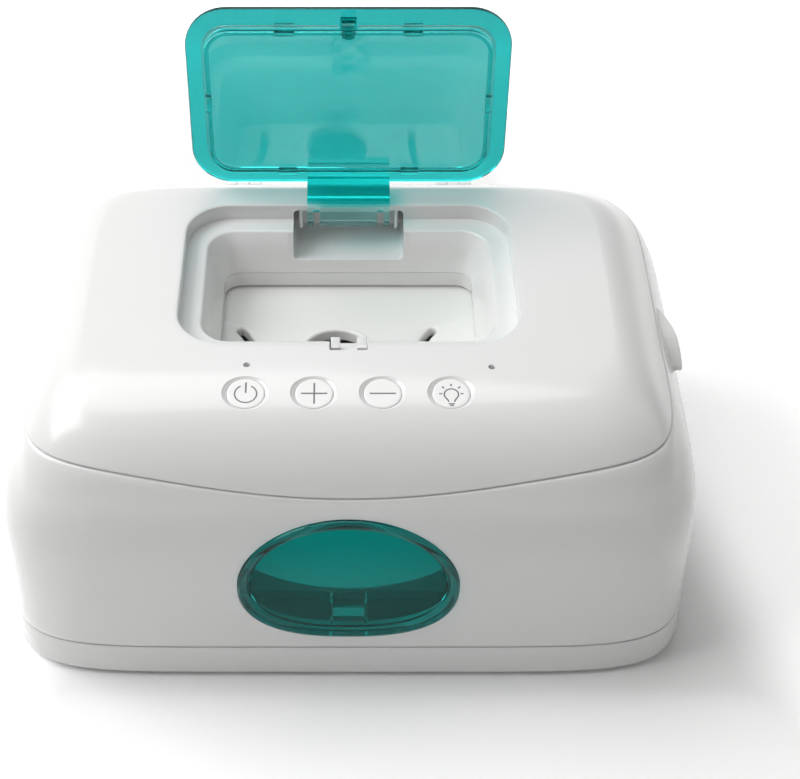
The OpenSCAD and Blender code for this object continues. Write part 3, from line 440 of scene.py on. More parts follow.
window_teal = clear_plastic("window_teal", (0.004, 0.74, 0.70), 0.04, 1.42, 0.92, (0.02, 0.5, 0.46), 0.5)
window_bead = clear_plastic("window_bead", (0.004, 0.50, 0.48), 0.04, 1.42, 0.92, (0.03, 0.5, 0.48), 0.5)
window_bead.node_tree.nodes["Principled BSDF"].inputs["Coat Weight"].default_value = 0.3


def on_bead(c):
    power, tall = UPPER if c.z > WINDOW_Z else LOWER
    return (abs(c.x) / (WINDOW_W - BEAD)) ** power + (abs(c.z - WINDOW_Z) / (tall - BEAD)) ** power > 1


shares = [k / 25 for k in range(1, 23)]
pane = skin_through([
    centre(0, front_at(0, WINDOW_Z) + WALL + 0.6, WINDOW_Z), *[window_ring(f, 0, WALL + 0.6) for f in shares],
    window_ring(0.9, 0, WALL + 2.2), *rings(
        partial(window_ring, 1), (FLANGE, WALL + 2.2), (FLANGE, WALL + 0.8), (0, WALL + 0.8), (0, 0.1), (-0.06, -0.5),
        (-0.3, -0.9), (-0.75, -1.16), (-1.3, -1.25), (-1.9, -1.17), (-2.4, -0.98), (-2.8, -0.86), (-BEAD, -0.84)),
    window_ring(0.88, 0, -1.0), *[window_ring(f, 0, -1.6 + 0.8 * f ** 2) for f in shares[-2::-1]],
    centre(0, front_at(0, WINDOW_Z) - 1.6, WINDOW_Z)], 192)
clip = [block((i * 6.1 - 0.5, i * 6.1 + 0.5), (-84.6, -79.5), (WINDOW_Z - 21.8, WINDOW_Z - 9.5), 0.2) for i in (-1, 1)]
piece("window_pane", join(pane, *clip), window_teal, "base", ["front_window"],
      second=window_bead, chosen=on_bead)

POST_X, POST_Z = WINDOW_W + 6.4, WINDOW_Z + 11
EAR_Y, BOW_Z = -75.9, WINDOW_Z + 9.85
# The diffuser's faint emission is painted light: it glows a little, though it is no lamp, and fills the shade behind
# the window
milky = plastic("milky_diffuser", (0.44, 0.48, 0.47), 0.5, 0.05, 0.1, 500, Emission_Strength=0.03)
bow_r, bow_half = 146.8, POST_X - 4
bow_angle = math.asin(bow_half / bow_r)
bow_mid = EAR_Y + bow_r * math.cos(bow_angle)


def bowed(share_x, z, depth):
    a = bow_angle * share_x
    return Vector((math.sin(a) * (bow_r - depth), bow_mid - math.cos(a) * (bow_r - depth), z))


def bow_ring(depth, trim, share=1):
    def ring(angle):
        c, s = math.cos(angle), math.sin(angle)
        k = max(abs(c), abs(s))
        x, up = c / k, s / k
        low, high = WINDOW_Z - 5.3 + 7.5 * x * x + trim, WINDOW_Z + 25 - 3 * x * x - trim
        z = (low + high) / 2 + (high - low) / 2 * up
        return bowed(share * x * (1 - trim / bow_half), share * z + (1 - share) * BOW_Z, depth)
    return ring


fan = [k / 12 for k in range(1, 12)]
lens = skin_through([centre(0, bow_mid - bow_r, BOW_Z), *[bow_ring(0, 0.4, k) for k in fan], bow_ring(0, 0.4),
                     bow_ring(0.3, 0), bow_ring(1.3, 0), bow_ring(1.6, 0.4), *[bow_ring(1.6, 0.4, k) for k in fan[::-1]],
                     centre(0, bow_mid - bow_r + 1.6, BOW_Z)], 160)
ears = []
for i in (-1, 1):
    ears.append(placed(turned([(2.9, 0), (5.2, 0), (5.2, 1.4), (2.9, 1.4), (2.9, 0)], 40),
                       move(i * POST_X, EAR_Y, POST_Z) @ ALONG_Y))
foot = block((-5.7, 5.7), (-83.0, -81.8), (WINDOW_Z - 19.3, WINDOW_Z - 14.7), 0.3)
piece("diffuser_panel", join(lens, *ears, foot), milky, "base", ["light_diffuser"])
posts = []
for i in (-1, 1):
    posts.append(placed(turned([(0, -HALF_D + 1.5), (3.6, -HALF_D + 1.5), (3.6, EAR_Y), (2.6, EAR_Y), (2.6, EAR_Y + 6),
                                (0, EAR_Y + 6)], 32), move(i * POST_X, 0, POST_Z) @ ALONG_Y))
keeper = skin_through(rings(
    partial(window_ring, 1), (FLANGE, WALL + 2.4), (FLANGE, WALL + 5.2), (-1.6, WALL + 5.2), (-1.6, WALL + 4.4),
    (-0.4, WALL + 2.4), (FLANGE, WALL + 2.4)), 192)
piece("light_posts", join(keeper, *posts), gloss_white, "base")

# ---- Top cover ---------------------------------------------------------------------------------
# The white lid of the body: a rounded shoulder, a flat deck with a recess for the flap, a ledge for
# its seal and a funnel down to the wipes, all one glossy moulding with a hinge pocket at the back.

REC_W, REC_L, REC_Y, REC_H, REC_R = 60.5, 38.5, 7.3, 6.4, 16.0
LEDGE, FUNNEL_H, DRAFT, COLLAR_H = 7.6, 16.1, 5.6, 6.2
LEDGE_Z = DECK - REC_H
THROAT_Z = LEDGE_Z - FUNNEL_H
MOUTH_R = REC_R - LEDGE + 2
THROAT_R = MOUTH_R - 0.7 * DRAFT
BACK, FRONT = REC_Y + REC_L, REC_Y - REC_L


def rounded_point(angle, half_w, half_l, r):
    """Where a ray from the middle leaves a rounded rectangle"""
    c, s = math.cos(angle), math.sin(angle)
    ac, as_ = max(abs(c), 1e-9), max(abs(s), 1e-9)
    t = min(half_w / ac, half_l / as_)
    x, y = ac * t, as_ * t
    if x > half_w - r and y > half_l - r:
        px, py = half_w - r, half_l - r
        b = ac * px + as_ * py
        t = b + math.sqrt(max(0.0, b * b - (px * px + py * py - r * r)))
        x, y = ac * t, as_ * t
    return math.copysign(x, c), math.copysign(y, s)


def well_ring(half_w, half_l, r, z):
    def ring(angle):
        x, y = rounded_point(angle, half_w, half_l, r)
        return Vector((x, REC_Y + y, z))
    return ring


def recess_ring(out, z):
    return well_ring(REC_W + out, REC_L + out, REC_R + out, z)


def funnel_ring(share, out, z=None):
    """A ring of the funnel's wall, a share of the way down, pushed out by the wall"""
    w = REC_W - LEDGE - DRAFT * share + out
    length = REC_L - LEDGE - DRAFT * share + out
    return well_ring(w, length, MOUTH_R - 0.7 * DRAFT * share + out, LEDGE_Z - FUNNEL_H * share if z is None else z)


def cover_ring(share, skin, lift=0.0):
    """A ring of the cover, a share of the way from its seam up to the deck"""
    def ring(angle):
        low = seam_at(angle) + SEAM_GAP / 2 + lift
        return body_point(angle, low + share * (DECK - skin - low), skin)
    return ring


climb = [math.sin(math.radians(90 * k / 30)) for k in range(1, 31)]
cover = skin_through(
    [cover_ring(0, WALL), cover_ring(0, 0.42), cover_ring(0, 0.1, 0.14), cover_ring(0, 0, 0.45)]
    + [cover_ring(f, 0) for f in climb]
    + rings(recess_ring, (2.4, DECK), (0.75, DECK), (0.42, DECK - 0.08), (0.14, DECK - 0.3), (0, DECK - 0.75), (0, DECK - 3),
            (0, LEDGE_Z + 0.5), (-0.15, LEDGE_Z + 0.12), (-0.5, LEDGE_Z))
    + rings(funnel_ring, (0, 0.7, LEDGE_Z), (0, 0.25, LEDGE_Z - 0.06), (0.03, 0), (0.5, 0), (0.98, 0), (1, 0.3), (1, 1.7),
            (0.98, 2), (0.5, 2), (0.1, 2, LEDGE_Z - 2))
    + rings(recess_ring, (2, LEDGE_Z - 2), (2, DECK - WALL))
    + [cover_ring(f, WALL) for f in reversed(climb[::3])] + [cover_ring(0, WALL)])

ARM_HALF = 15.6
AXIS_Y, AXIS_Z = BACK + 7, DECK - 5.4
POCKET_HALF, POCKET_Z, POCKET_BACK = ARM_HALF + 5.4, AXIS_Z - 12, AXIS_Y + 4.2
FLAP_T = 2.4
NOTCH = 6.7
NOTCH_Y = FRONT - 5.3
pocket_x, notch_x = (-POCKET_HALF, POCKET_HALF), (-NOTCH, NOTCH)
housings = [
    block((-POCKET_HALF - 2, POCKET_HALF + 2), (BACK - 20, POCKET_BACK + 2), (POCKET_Z - 2, DECK - FLAP_T), 0.6),
    block((-NOTCH - 2, NOTCH + 2), (NOTCH_Y - 4, FRONT + LEDGE), (LEDGE_Z - 7.1, DECK - 1), 0.4)]
cover = carve(cover, *housings, how="UNION")
# What the union left inside the well is cut away again
well_core = skin_through([centre(0, REC_Y, DECK + 3), recess_ring(-0.02, DECK + 3), recess_ring(-0.02, LEDGE_Z + 0.02),
                          funnel_ring(0, 0.6, LEDGE_Z + 0.02), funnel_ring(0.03, -0.03), funnel_ring(1, -0.03),
                          funnel_ring(1, -0.03, THROAT_Z - 4), centre(0, REC_Y, THROAT_Z - 4)], 240)
pocket = block(pocket_x, (BACK - 21, POCKET_BACK), (POCKET_Z, DECK - FLAP_T), 1.8, 4)
pocket_mouth = block(pocket_x, (BACK - 25, BACK - 0.02), (POCKET_Z, DECK - 1.2), 1.8, 4)
notch = block(notch_x, (NOTCH_Y + 1.1, FRONT + LEDGE + 6), (LEDGE_Z - 5.1, DECK + 4), 0.5, 2)
notch_under = block(notch_x, (NOTCH_Y - 2, NOTCH_Y + 3), (LEDGE_Z - 5.1, DECK - WALL), 0.2)

BUTTON_PITCH, BUTTON_Y, TILT = 23.2, 55.3, math.radians(12)
lost = (HALF_D - BUTTON_Y) / FRONT_DEPTH
BUTTON_Z = WIDEST + (DECK - WIDEST) * math.sqrt(1 - (1 - lost) ** FRONT_ROOT)
BUTTON_X = [(i - 1.5) * BUTTON_PITCH for i in range(4)]


def on_row(x, y=0.0, z=0.0):
    """The button row's own frame: z = 0 touches the cover, +z points out of it"""
    return move(0, -BUTTON_Y, BUTTON_Z) @ Matrix.Rotation(TILT, 4, "X") @ move(x, y, z)


dish = [(0, 5), (8.7, 5), (8.4, 0.4), (8.1, -0.08), (7.8, -0.34), (7.45, -0.58), (7.1, -0.78), (6.8, -0.93), (6.62, -1.02),
        (6.57, -1.2), (6.57, -9), (0, -9)]
OVAL = Matrix.Diagonal((1, 0.94, 1, 1))
LEDS = [(-34.9, -42.8), (49.1, -43.9)]
holes = [placed(turned(dish, 72), on_row(x) @ OVAL) for x in BUTTON_X]
pipe_hole = [(0, -9), (0.95, -9), (0.95, -0.5), (1.25, 0.02), (1.25, 2), (0, 2)]
holes += [placed(turned(pipe_hole, 32), move(x, y, DECK)) for x, y in LEDS]
cover = carve(cover, well_core, pocket, pocket_mouth, notch, notch_under, *holes)


def pull(bm, faces, vec):
    """Draws flat faces out into a closed solid"""
    drawn = bmesh.ops.extrude_face_region(bm, geom=faces)
    bmesh.ops.translate(bm, vec=vec, verts=[v for v in drawn["geom"] if isinstance(v, bmesh.types.BMVert)])
    bmesh.ops.recalc_face_normals(bm, faces=bm.faces)
    return bm


def prism(x, length, outline):
    """A solid along X from its outline in Y and Z"""
    bm = bmesh.new()
    return pull(bm, [bm.faces.new([bm.verts.new((x, y, z)) for y, z in outline])], (length, 0, 0))


extras = [placed(knuckle((-2.3, 2.3), 1), move(i * HINGE_X, 0, 0)) for i in (-1, 1)]
leg_x = (arm_x + 5, arm_x + 7.5)
leg_y = (LATCH_Y - 4.9, LATCH_Y + 4.9)
extras.append(block(leg_x, leg_y, (SEAM - 11, SEAM + 5.6), 0.2))
extras.append(block((leg_x[0] - 2, leg_x[0] + 0.2), leg_y, (SEAM - 11, SEAM - 8.6), 0.3))
screw_post = [(1.1, -10.8), (2.5, -10.8), (2.5, -3.3), (1.1, -3.3), (1.1, -10.8)]
for x in (-42.5, 42.5):
    for y in (-9.2, 9.2):
        extras.append(placed(turned(screw_post, 32), on_row(x, y)))
ear_top = DECK - FLAP_T + 0.2
for i in (-1, 1):
    ear = prism(i * (ARM_HALF + 2.6) - 0.6, 1.2, [
        (AXIS_Y - 3.4, POCKET_Z + 3.4), (POCKET_BACK + 0.4, POCKET_Z + 1.4), (POCKET_BACK + 0.4, ear_top),
        (AXIS_Y - 6.4, ear_top), (AXIS_Y - 6.4, POCKET_Z + 6.4)])
    round_off(ear, ear.edges, 0.25)
    extras.append(ear)
piece("cover_shell", join(cover, *extras), gloss_white, "cover", ["top_cover"])

# ---- Opening collar and wipe plate -------------------------------------------------------------
# The collar is a white ring pushed up round the foot of the funnel. Under it lies the loose plate
# with its dished hole and two slots, through which the wipes are pulled out of the dark bin.

COLLAR_Z = THROAT_Z - COLLAR_H
gap = 2.3


def collar_ring(out, z):
    return well_ring(REC_W - LEDGE - DRAFT + out, REC_L - LEDGE - DRAFT + out, THROAT_R + max(out, 0), z)


collar = skin_through(rings(
    collar_ring, (0.5, COLLAR_Z), (0.14, COLLAR_Z + 0.12), (0, COLLAR_Z + 0.5), (0, THROAT_Z - 0.25), (0.12, THROAT_Z - 0.1),
    (0.4, THROAT_Z - 0.04), (gap, THROAT_Z - 0.04), (gap + 1.4, THROAT_Z + 4), (gap + 2.6, THROAT_Z + 4),
    (gap + 1.5, THROAT_Z), (gap + 1.5, COLLAR_Z), (0.5, COLLAR_Z)), 240)
clear_pocket = block((-POCKET_HALF - 2.3, POCKET_HALF + 2.3), (BACK - 20.3, BACK), (POCKET_Z - 2.3, DECK))
piece("funnel_collar", carve(collar, clear_pocket), gloss_white, "cover", ["opening_collar"])

PLATE_Z, PLATE_T = COLLAR_Z - 2.8, 2.0
PLATE_W, PLATE_L, PLATE_R = 97, 65, 19
HOLE_X, HOLE_Y, HOLE_R = -4.4, -5.4, 12.6
plate_white = plastic("plate_white_plastic", (0.80, 0.795, 0.775), 0.38, 0.06, 0.03, 420)


def plate_ring(out, z):
    def ring(angle):
        x, y = rounded_point(angle, PLATE_W + out, PLATE_L + out, PLATE_R + out)
        return Vector((x, y, z))
    return ring


def hole_ring(radius, z):
    return lambda a: Vector((HOLE_X + radius * math.cos(a), HOLE_Y + radius * math.sin(a), z))


top = PLATE_Z + PLATE_T
plate = skin_through([
    *rings(plate_ring, (-0.4, PLATE_Z), (0, PLATE_Z + 0.4), (0, top - 0.4), (-0.4, top)),
    *rings(hole_ring, (18, top), (15.2, top), (14.7, top + 0.08), (14.1, top + 0.3), (13.6, top + 0.34), (13.1, top + 0.2),
           (12.75, top - 0.15), (HOLE_R, top - 0.7), (12.3, PLATE_Z - 2), (12.5, PLATE_Z - 2.3), (13.3, PLATE_Z - 2.3),
           (13.5, PLATE_Z - 2), (13.7, PLATE_Z), (18, PLATE_Z)), plate_ring(-0.4, PLATE_Z)], 240)
SLOT_PATH = [(31.5, -12), (31.3, -9), (31.3, -6), (31.5, -3), (32.0, 0.0), (32.9, 2.6), (34.2, 5.0), (36.0, 7.4)]


def slot_outline(radius):
    """Points round a curved slot: up one side of its path, round the end and down the other"""
    path = [Vector(p) for p in SLOT_PATH]
    along = [(path[min(k + 1, len(path) - 1)] - path[max(k - 1, 0)]).normalized() for k in range(len(path))]
    side = [Vector((d.y, -d.x)) * radius for d in along]

    def round_end(middle, start):
        turns = [start + math.pi * k / 10 for k in range(1, 10)]
        return [middle + radius * Vector((math.cos(t), math.sin(t))) for t in turns]

    far = math.atan2(side[-1].y, side[-1].x)
    near = far + (math.pi + math.atan2(along[0].y, along[0].x) - math.atan2(along[-1].y, along[-1].x))
    return [*[p + q for p, q in zip(path, side)], *round_end(path[-1], far),
            *[p - q for p, q in zip(reversed(path), reversed(side))], *round_end(path[0], near)]


def slot_ring(radius, z, flip):
    outline = slot_outline(radius)

    def ring(angle):
        p = outline[round(angle / (2 * math.pi) * len(outline)) % len(outline)]
        return Vector((HOLE_X + flip * p.x, p.y, z))
    return ring


around = len(slot_outline(1))
slots, lips = [], []
for flip in (-1, 1):
    def hub(z, flip=flip):
        return centre(HOLE_X + flip * 31.5, -3, z)
    edge = partial(slot_ring, flip=flip)
    slots.append(skin_through([hub(top + 2), *rings(
        edge, (2.6, top + 2), (2.5, top + 0.02), (2.0, top - 0.2), (1.7, top - 0.6), (1.5, PLATE_Z - 1)),
        hub(PLATE_Z - 1)], around))
    lips.append(skin_through(rings(
        edge, (1.6, PLATE_Z + 0.3), (1.4, PLATE_Z - 1.8), (2.3, PLATE_Z - 1.8), (2.5, PLATE_Z + 0.3),
        (1.6, PLATE_Z + 0.3)), around))
piece("dispensing_plate", join(carve(plate, *slots), *lips), plate_white, "base", ["wipe_plate"])

# ---- Flap --------------------------------------------------------------------------------------
# The see-through teal flap that stands open over the well. An outer panel with a gooseneck arm is
# moulded as one, and an inner frame with a rim is clipped into it, which shows as a double line.

OPEN = math.radians(92)
flap_pose = move(0, AXIS_Y, AXIS_Z) @ Matrix.Rotation(-OPEN, 4, "X") @ move(0, -AXIS_Y, -AXIS_Z)
FLAP_W, FLAP_L = 59.0, 37.1
FLAP_Y = (BACK - 1.8 + FRONT + 1) / 2
UNDER = DECK - FLAP_T
teal_panel = clear_plastic("teal_panel", (0.022, 0.48, 0.47), 0.03, glint=(0.3, 0.9, 0.88))
teal_arm = clear_plastic("teal_arm", (0.01, 0.62, 0.60), 0.06, shade=0.95, glint=(0.05, 0.7, 0.68))
# A paler copy of the arm's teal is painted light: it makes the foot of the arm as bright as it looks where the lit
# pocket shows through
teal_arm_painted_light = clear_plastic("teal_arm_painted_light", (0.70, 0.98, 0.97), 0.05, shade=0.97, glint=(0.4, 1, 1))
teal_rim = clear_plastic("teal_rim", (0.15, 0.68, 0.67), 0.05, glint=(0.3, 0.9, 0.88))
teal_clip = clear_plastic("teal_clip", (0.60, 0.92, 0.91), 0.05, glint=(0.3, 0.9, 0.88))
pale_sheet = clear_plastic("pale_sheet", (0.85, 0.96, 0.955), 0.02, 1.52)
for mat in (teal_panel, pale_sheet):
    # The sheets bow a little, which tilts what they mirror; they only ever turn about X
    nodes, links = mat.node_tree.nodes, mat.node_tree.links
    bow = nodes.new("ShaderNodeVectorRotate")
    bow.rotation_type = "X_AXIS"
    bow.inputs["Angle"].default_value = math.radians(4.3)
    facing = nodes["Principled BSDF"].inputs["Normal"]
    links.new(facing.links[0].from_socket, bow.inputs["Vector"])
    links.new(bow.outputs["Vector"], facing)


def flap_ring(out, z):
    def ring(angle):
        x, y = rounded_point(angle, FLAP_W + out, FLAP_L + out, REC_R - 0.7 + out)
        return Vector((x, FLAP_Y + y, z))
    return ring


lid = skin_through([centre(0, FLAP_Y, UNDER), *rings(
    flap_ring, (-20, UNDER), (-0.5, UNDER), (-0.12, UNDER + 0.15), (0, UNDER + 0.5), (0, DECK - 0.9), (-0.1, DECK - 0.5),
    (-0.35, DECK - 0.18), (-0.8, DECK), (-20, DECK)), centre(0, FLAP_Y, DECK)], 240)
piece("flap_lid", placed(lid, flap_pose), teal_panel, "flap", ["flap_shell"])

# The gooseneck's outline from the hinge axis: its two outer and two inner bends are rounded
arm_back = -(7 + 1.8 + 0.4)
arm_out, arm_low, arm_in = arm_back - 2.3, -11.4, -9.1
profile = [(arm_out, 3.0), (arm_out, arm_low), (3.0, arm_low), (3.0, 0.6), (0.4, 0.6), (0.4, arm_in),
           (arm_back, arm_in), (arm_back, 3.0)]
arm = prism(-ARM_HALF, 2 * ARM_HALF, [(AXIS_Y + y, AXIS_Z + z) for y, z in profile])


def along_x_at(bm, y, z):
    return [e for e in bm.edges
            if all(abs(v.co.y - AXIS_Y - y) < 0.01 and abs(v.co.z - AXIS_Z - z) < 0.01 for v in e.verts)]


outer, inner = ((arm_out, arm_low), (3.0, arm_low)), ((arm_back, arm_in), (0.4, arm_in))
for bend, offset, segments in ((outer, 2.6, 8), (inner, 0.8, 4)):
    round_off(arm, along_x_at(arm, *bend[0]) + along_x_at(arm, *bend[1]), offset, segments)
SPRING_X = (10.9, 13.3)
barrel = placed(rod(2.6, -ARM_HALF, ARM_HALF, 48), move(0, AXIS_Y, AXIS_Z) @ ALONG_X)
arm = carve(arm, barrel, how="UNION")
cuts = [placed(rod(PIN_HOLE, -20, 20, 32), move(0, AXIS_Y, AXIS_Z) @ ALONG_X)]
for i in (-1, 1):
    span = sorted((i * SPRING_X[0], i * SPRING_X[1]))
    cuts.append(block(span, (AXIS_Y - 5, AXIS_Y + 6), (AXIS_Z - 14, AXIS_Z + 6)))
arm = carve(arm, *cuts)
# The foot of the arm gets the paler copy of its teal, painted light
piece("flap_arm", placed(arm, flap_pose), teal_arm, "flap", second=teal_arm_painted_light,
      chosen=lambda c: (flap_pose.inverted() @ c).y > AXIS_Y - 8.7)

PANEL_W, PANEL_L, PANEL_R = REC_W - LEDGE - 1, REC_L - LEDGE - 0.9, MOUTH_R - 1
RIM_LOW, SHEET = UNDER - 3.3, UNDER - 2.3


def rim_ring(out, z):
    def ring(angle):
        x, y = rounded_point(angle, PANEL_W + out, PANEL_L + out, PANEL_R + min(out, 0))
        return Vector((x, REC_Y + y, z))
    return ring


rim = skin_through(rings(
    rim_ring, (-1.4, UNDER - 1.1), (-0.3, UNDER - 1.1), (0, UNDER - 1.4), (0, RIM_LOW + 0.4), (-0.12, RIM_LOW + 0.1),
    (-0.4, RIM_LOW), (-1.0, RIM_LOW), (-1.3, RIM_LOW + 0.12), (-1.4, RIM_LOW + 0.4), (-1.4, UNDER - 1.1)), 240)
clip_z = (RIM_LOW - 0.2, UNDER - 1.15)
clips = []
for x0, x1 in ((-26.5, -19.5), (19.8, 26.5)):
    for i in (-1, 1):
        wall_y = REC_Y + i * PANEL_L
        clips.append(block((x0, x1), sorted((wall_y - i * 1.5, wall_y + i * 2.6)), (UNDER - 1.7, UNDER - 1.15), 0.15))
        clips.append(block((x0, x1), sorted((wall_y - i * 1.5, wall_y - i * 0.1)), clip_z, 0.2))
for i in (-1, 1):
    clips.append(block(sorted((i * (PANEL_W - 1.5), i * (PANEL_W + 0.7))), (REC_Y - 3.4, REC_Y + 3.4), clip_z, 0.2))
clips.append(block((-ARM_HALF, ARM_HALF), (AXIS_Y - 18, AXIS_Y - 9.4), (UNDER - 0.35, UNDER + 0.02), 0.1))
piece("flap_rim", placed(rim, flap_pose), teal_rim, "flap")
piece("flap_clips", placed(join(*clips), flap_pose), teal_clip, "flap")

sheet = skin_through([centre(0, REC_Y, SHEET), *rings(
    rim_ring, (-20, SHEET), (-1.5, SHEET), (-1.5, SHEET + 1.2), (-20, SHEET + 1.2)), centre(0, REC_Y, SHEET + 1.2)], 240)
piece("flap_inner_sheet", placed(sheet, flap_pose), pale_sheet, "flap", ["flap_panel"])

silicone = clear_plastic("clear_silicone", (0.55, 0.80, 0.78), 0.25, 1.41)
cord = skin_through(rings(
    rim_ring, (0.4, UNDER - 0.1), (1.0, UNDER - 0.1), (1.3, UNDER - 0.3), (1.2, UNDER - 0.8), (0.8, UNDER - 1.0),
    (0.4, UNDER - 0.9), (0.2, UNDER - 0.5), (0.4, UNDER - 0.1)), 240)
arm_gap = block((-ARM_HALF - 0.3, ARM_HALF + 0.3), (REC_Y + 10, BACK + 10), (UNDER - 3, DECK))
hook_gap = block((-3.4, 3.4), (FRONT - 5, REC_Y - 10), (UNDER - 3, DECK))
piece("flap_gasket", placed(carve(cord, arm_gap, hook_gap), flap_pose), silicone, "flap", ["flap_seal"])

# The hook near the free edge that the catch holds, on a small pad
HOOK_Y, HOOK_Z = FRONT + 5.4, LEDGE_Z - 3.8


def hull_of(points):
    bm = bmesh.new()
    for p in points:
        bm.verts.new(p)
    made = bmesh.ops.convex_hull(bm, input=bm.verts)
    spare = {g for g in made["geom_unused"] + made["geom_interior"] if isinstance(g, bmesh.types.BMVert)}
    bmesh.ops.delete(bm, geom=list(spare), context="VERTS")
    bmesh.ops.dissolve_limit(bm, angle_limit=math.radians(1), verts=bm.verts, edges=bm.edges)
    bmesh.ops.recalc_face_normals(bm, faces=bm.faces)
    return bm


def tongue(y_span, top):
    """A plate whose lower end is round"""
    half_turn = [math.pi * k / 12 for k in range(13)]
    outline = [(2.4 * math.cos(t), HOOK_Z + 2 - 2 * math.sin(t)) for t in half_turn] + [(-2.4, top), (2.4, top)]
    return hull_of([(x, y, z) for y in y_span for x, z in outline])


hook = join(
    tongue((HOOK_Y, HOOK_Y + 3.4), UNDER), tongue((HOOK_Y - 2, HOOK_Y + 0.4), HOOK_Z + 2.05),
    block((-2.9, 2.9), (HOOK_Y - 1.4, HOOK_Y + 4.6), (UNDER - 0.5, UNDER - 0.02), 0.2))
piece("flap_hook_piece", placed(hook, flap_pose), teal_arm, "flap", ["flap_hook"])

# ---- Flap catch --------------------------------------------------------------------------------
# A small white moulding in the notch at the front of the recess. Two prongs and a crossbar stand
# flush with the deck; pressed to the front, its lip lets the flap's hook go.

CATCH_Y, CATCH_Z = FRONT - 3.1, LEDGE_Z - 4.9
catch = [block((-6.2, 6.45), (CATCH_Y, CATCH_Y + 1.3), (CATCH_Z, DECK - 2.8), 0.3),
         block((-6.2, 6.45), (CATCH_Y, FRONT + 3), (UNDER - 3, UNDER - 0.8), 0.3),
         block((-6.2, 6.2), (CATCH_Y, FRONT + 1.6), (CATCH_Z, CATCH_Z + 0.8), 0.2),
         block((-3, 3), (CATCH_Y, HOOK_Y - 0.5), (HOOK_Z + 2.2, HOOK_Z + 3.6), 0.3)]
for i in (-1, 1):
    span = (2.9, 6.5) if i > 0 else (-6.2, -2.9)
    catch.append(block(span, (CATCH_Y, FRONT + 6.2), (CATCH_Z, UNDER - 0.8), 0.35, 3))
    catch.append(block(span, (CATCH_Y + 1, FRONT + 0.5), (CATCH_Z, DECK - 0.9), 0.35, 3))
catch_white = plastic("catch_white_plastic", (0.78, 0.78, 0.77), 0.28, 0.05, 0.03, 500)
piece("catch_piece", join(*catch), catch_white, "catch", ["flap_catch"])

# ---- Push buttons ------------------------------------------------------------------------------
# Four round caps in dished rings on the shoulder, each on its own tact switch. Glossy white with a
# small grey printed symbol: power, plus, minus and a light bulb.

cap = [(0, -0.86), (2.5, -0.84), (4.6, -0.79), (5.5, -0.77), (6.0, -0.8), (6.3, -0.88), (6.46, -0.98), (6.51, -1.2),
       (6.51, -5), (7.95, -5), (7.95, -5.8), (2, -5.8), (2, -6.9), (0, -6.9)]
printed_grey = plastic("printed_grey", (0.15, 0.15, 0.155), 0.42, 0.05, 0.1, 900)


INK = 0.035


def face_height(r):
    """Height of a cap's dished face at a radius"""
    for (r0, z0), (r1, z1) in zip(cap, cap[1:]):
        if r0 <= r <= r1:
            return z0 + (z1 - z0) * (r - r0) / (r1 - r0)
    return cap[0][1]


def stroke(points, width):
    """A thin printed line that follows the dished face"""
    bm = bmesh.new()
    points = [Vector(p) for p in points]
    left, right = [], []
    for k, p in enumerate(points):
        along = (points[min(k + 1, len(points) - 1)] - points[max(k - 1, 0)]).normalized()
        across = Vector((-along.y, along.x)) * width / 2
        left.append(p + across)
        right.append(p - across)
    left, right = [[bm.verts.new((v.x, v.y, face_height(v.length) + INK)) for v in side] for side in (left, right)]
    for quad in zip(left, right, right[1:], left[1:]):
        bm.faces.new(quad)
    return pull(bm, bm.faces[:], (0, 0, -0.06))


def arc(cx, cy, r, start, end, steps):
    turns = [math.radians(start + (end - start) * k / steps) for k in range(steps + 1)]
    return [(cx + r * math.cos(t), cy + r * math.sin(t)) for t in turns]


def line(a, b, steps=6):
    return [(a[0] + (b[0] - a[0]) * k / steps, a[1] + (b[1] - a[1]) * k / steps) for k in range(steps + 1)]


FINE, BOLD = 0.52, 0.58
bulb = [(-1.05, -3.7), (-1.1, -3.1), *arc(0, -0.45, 2.4, 222, -42, 32), (1.1, -3.1), (1.05, -3.7)]
rays = [((-4.1, -0.15), (-3.1, -0.15)), ((3.1, -0.15), (4.1, -0.15)), ((0, 3.1), (0, 4.1)), ((-3.1, 2.95), (-2.35, 2.15)),
        ((2.35, 2.15), (3.1, 2.95)), ((-1.05, -4.55), (1.05, -4.55)), ((-0.65, -5.3), (0.65, -5.3))]
symbols = {
    "power": [stroke(arc(0, -0.2, 3.75, 118, 422, 60), FINE), stroke(line((0, 0.2), (0, 4.7)), BOLD)],
    "plus": [stroke(line((-4.45, 0), (4.45, 0), 12), BOLD), stroke(line((0, -4.5), (0, 4.5), 12), BOLD)],
    "minus": [stroke(line((-4.45, 0), (4.45, 0), 12), BOLD)],
    "light": [stroke(bulb, FINE), *[stroke(line(*ends, 3), FINE) for ends in rays]]}
for name, x in zip(symbols, BUTTON_X):
    key = placed(turned(cap, 72), on_row(x) @ OVAL)
    piece(f"{name}_cap", key, gloss_white, f"{name}_key", [f"{name}_button"])
    piece(f"{name}_symbol", placed(join(*symbols[name]), on_row(x) @ OVAL), printed_grey, f"{name}_key")

# ---- Cover latch -------------------------------------------------------------------------------
# The white tab low on the cover's seam at the right. It is a wedge that grows to the front, slides
# in through the wall on two springs and lets go of the leg of the cover.

stem_x = leg_x[1] + 3
skin_low = HALF_W - inset(TAB_Z[0], 0, False) - 0.4
skin_high = HALF_W - inset(TAB_Z[1], 0, False) + 0.3
y0, y1 = LATCH_Y - LATCH_HALF, LATCH_Y + LATCH_HALF


def corners(x, y, z):
    return [(a, b, c) for a in x for b in y for c in z]


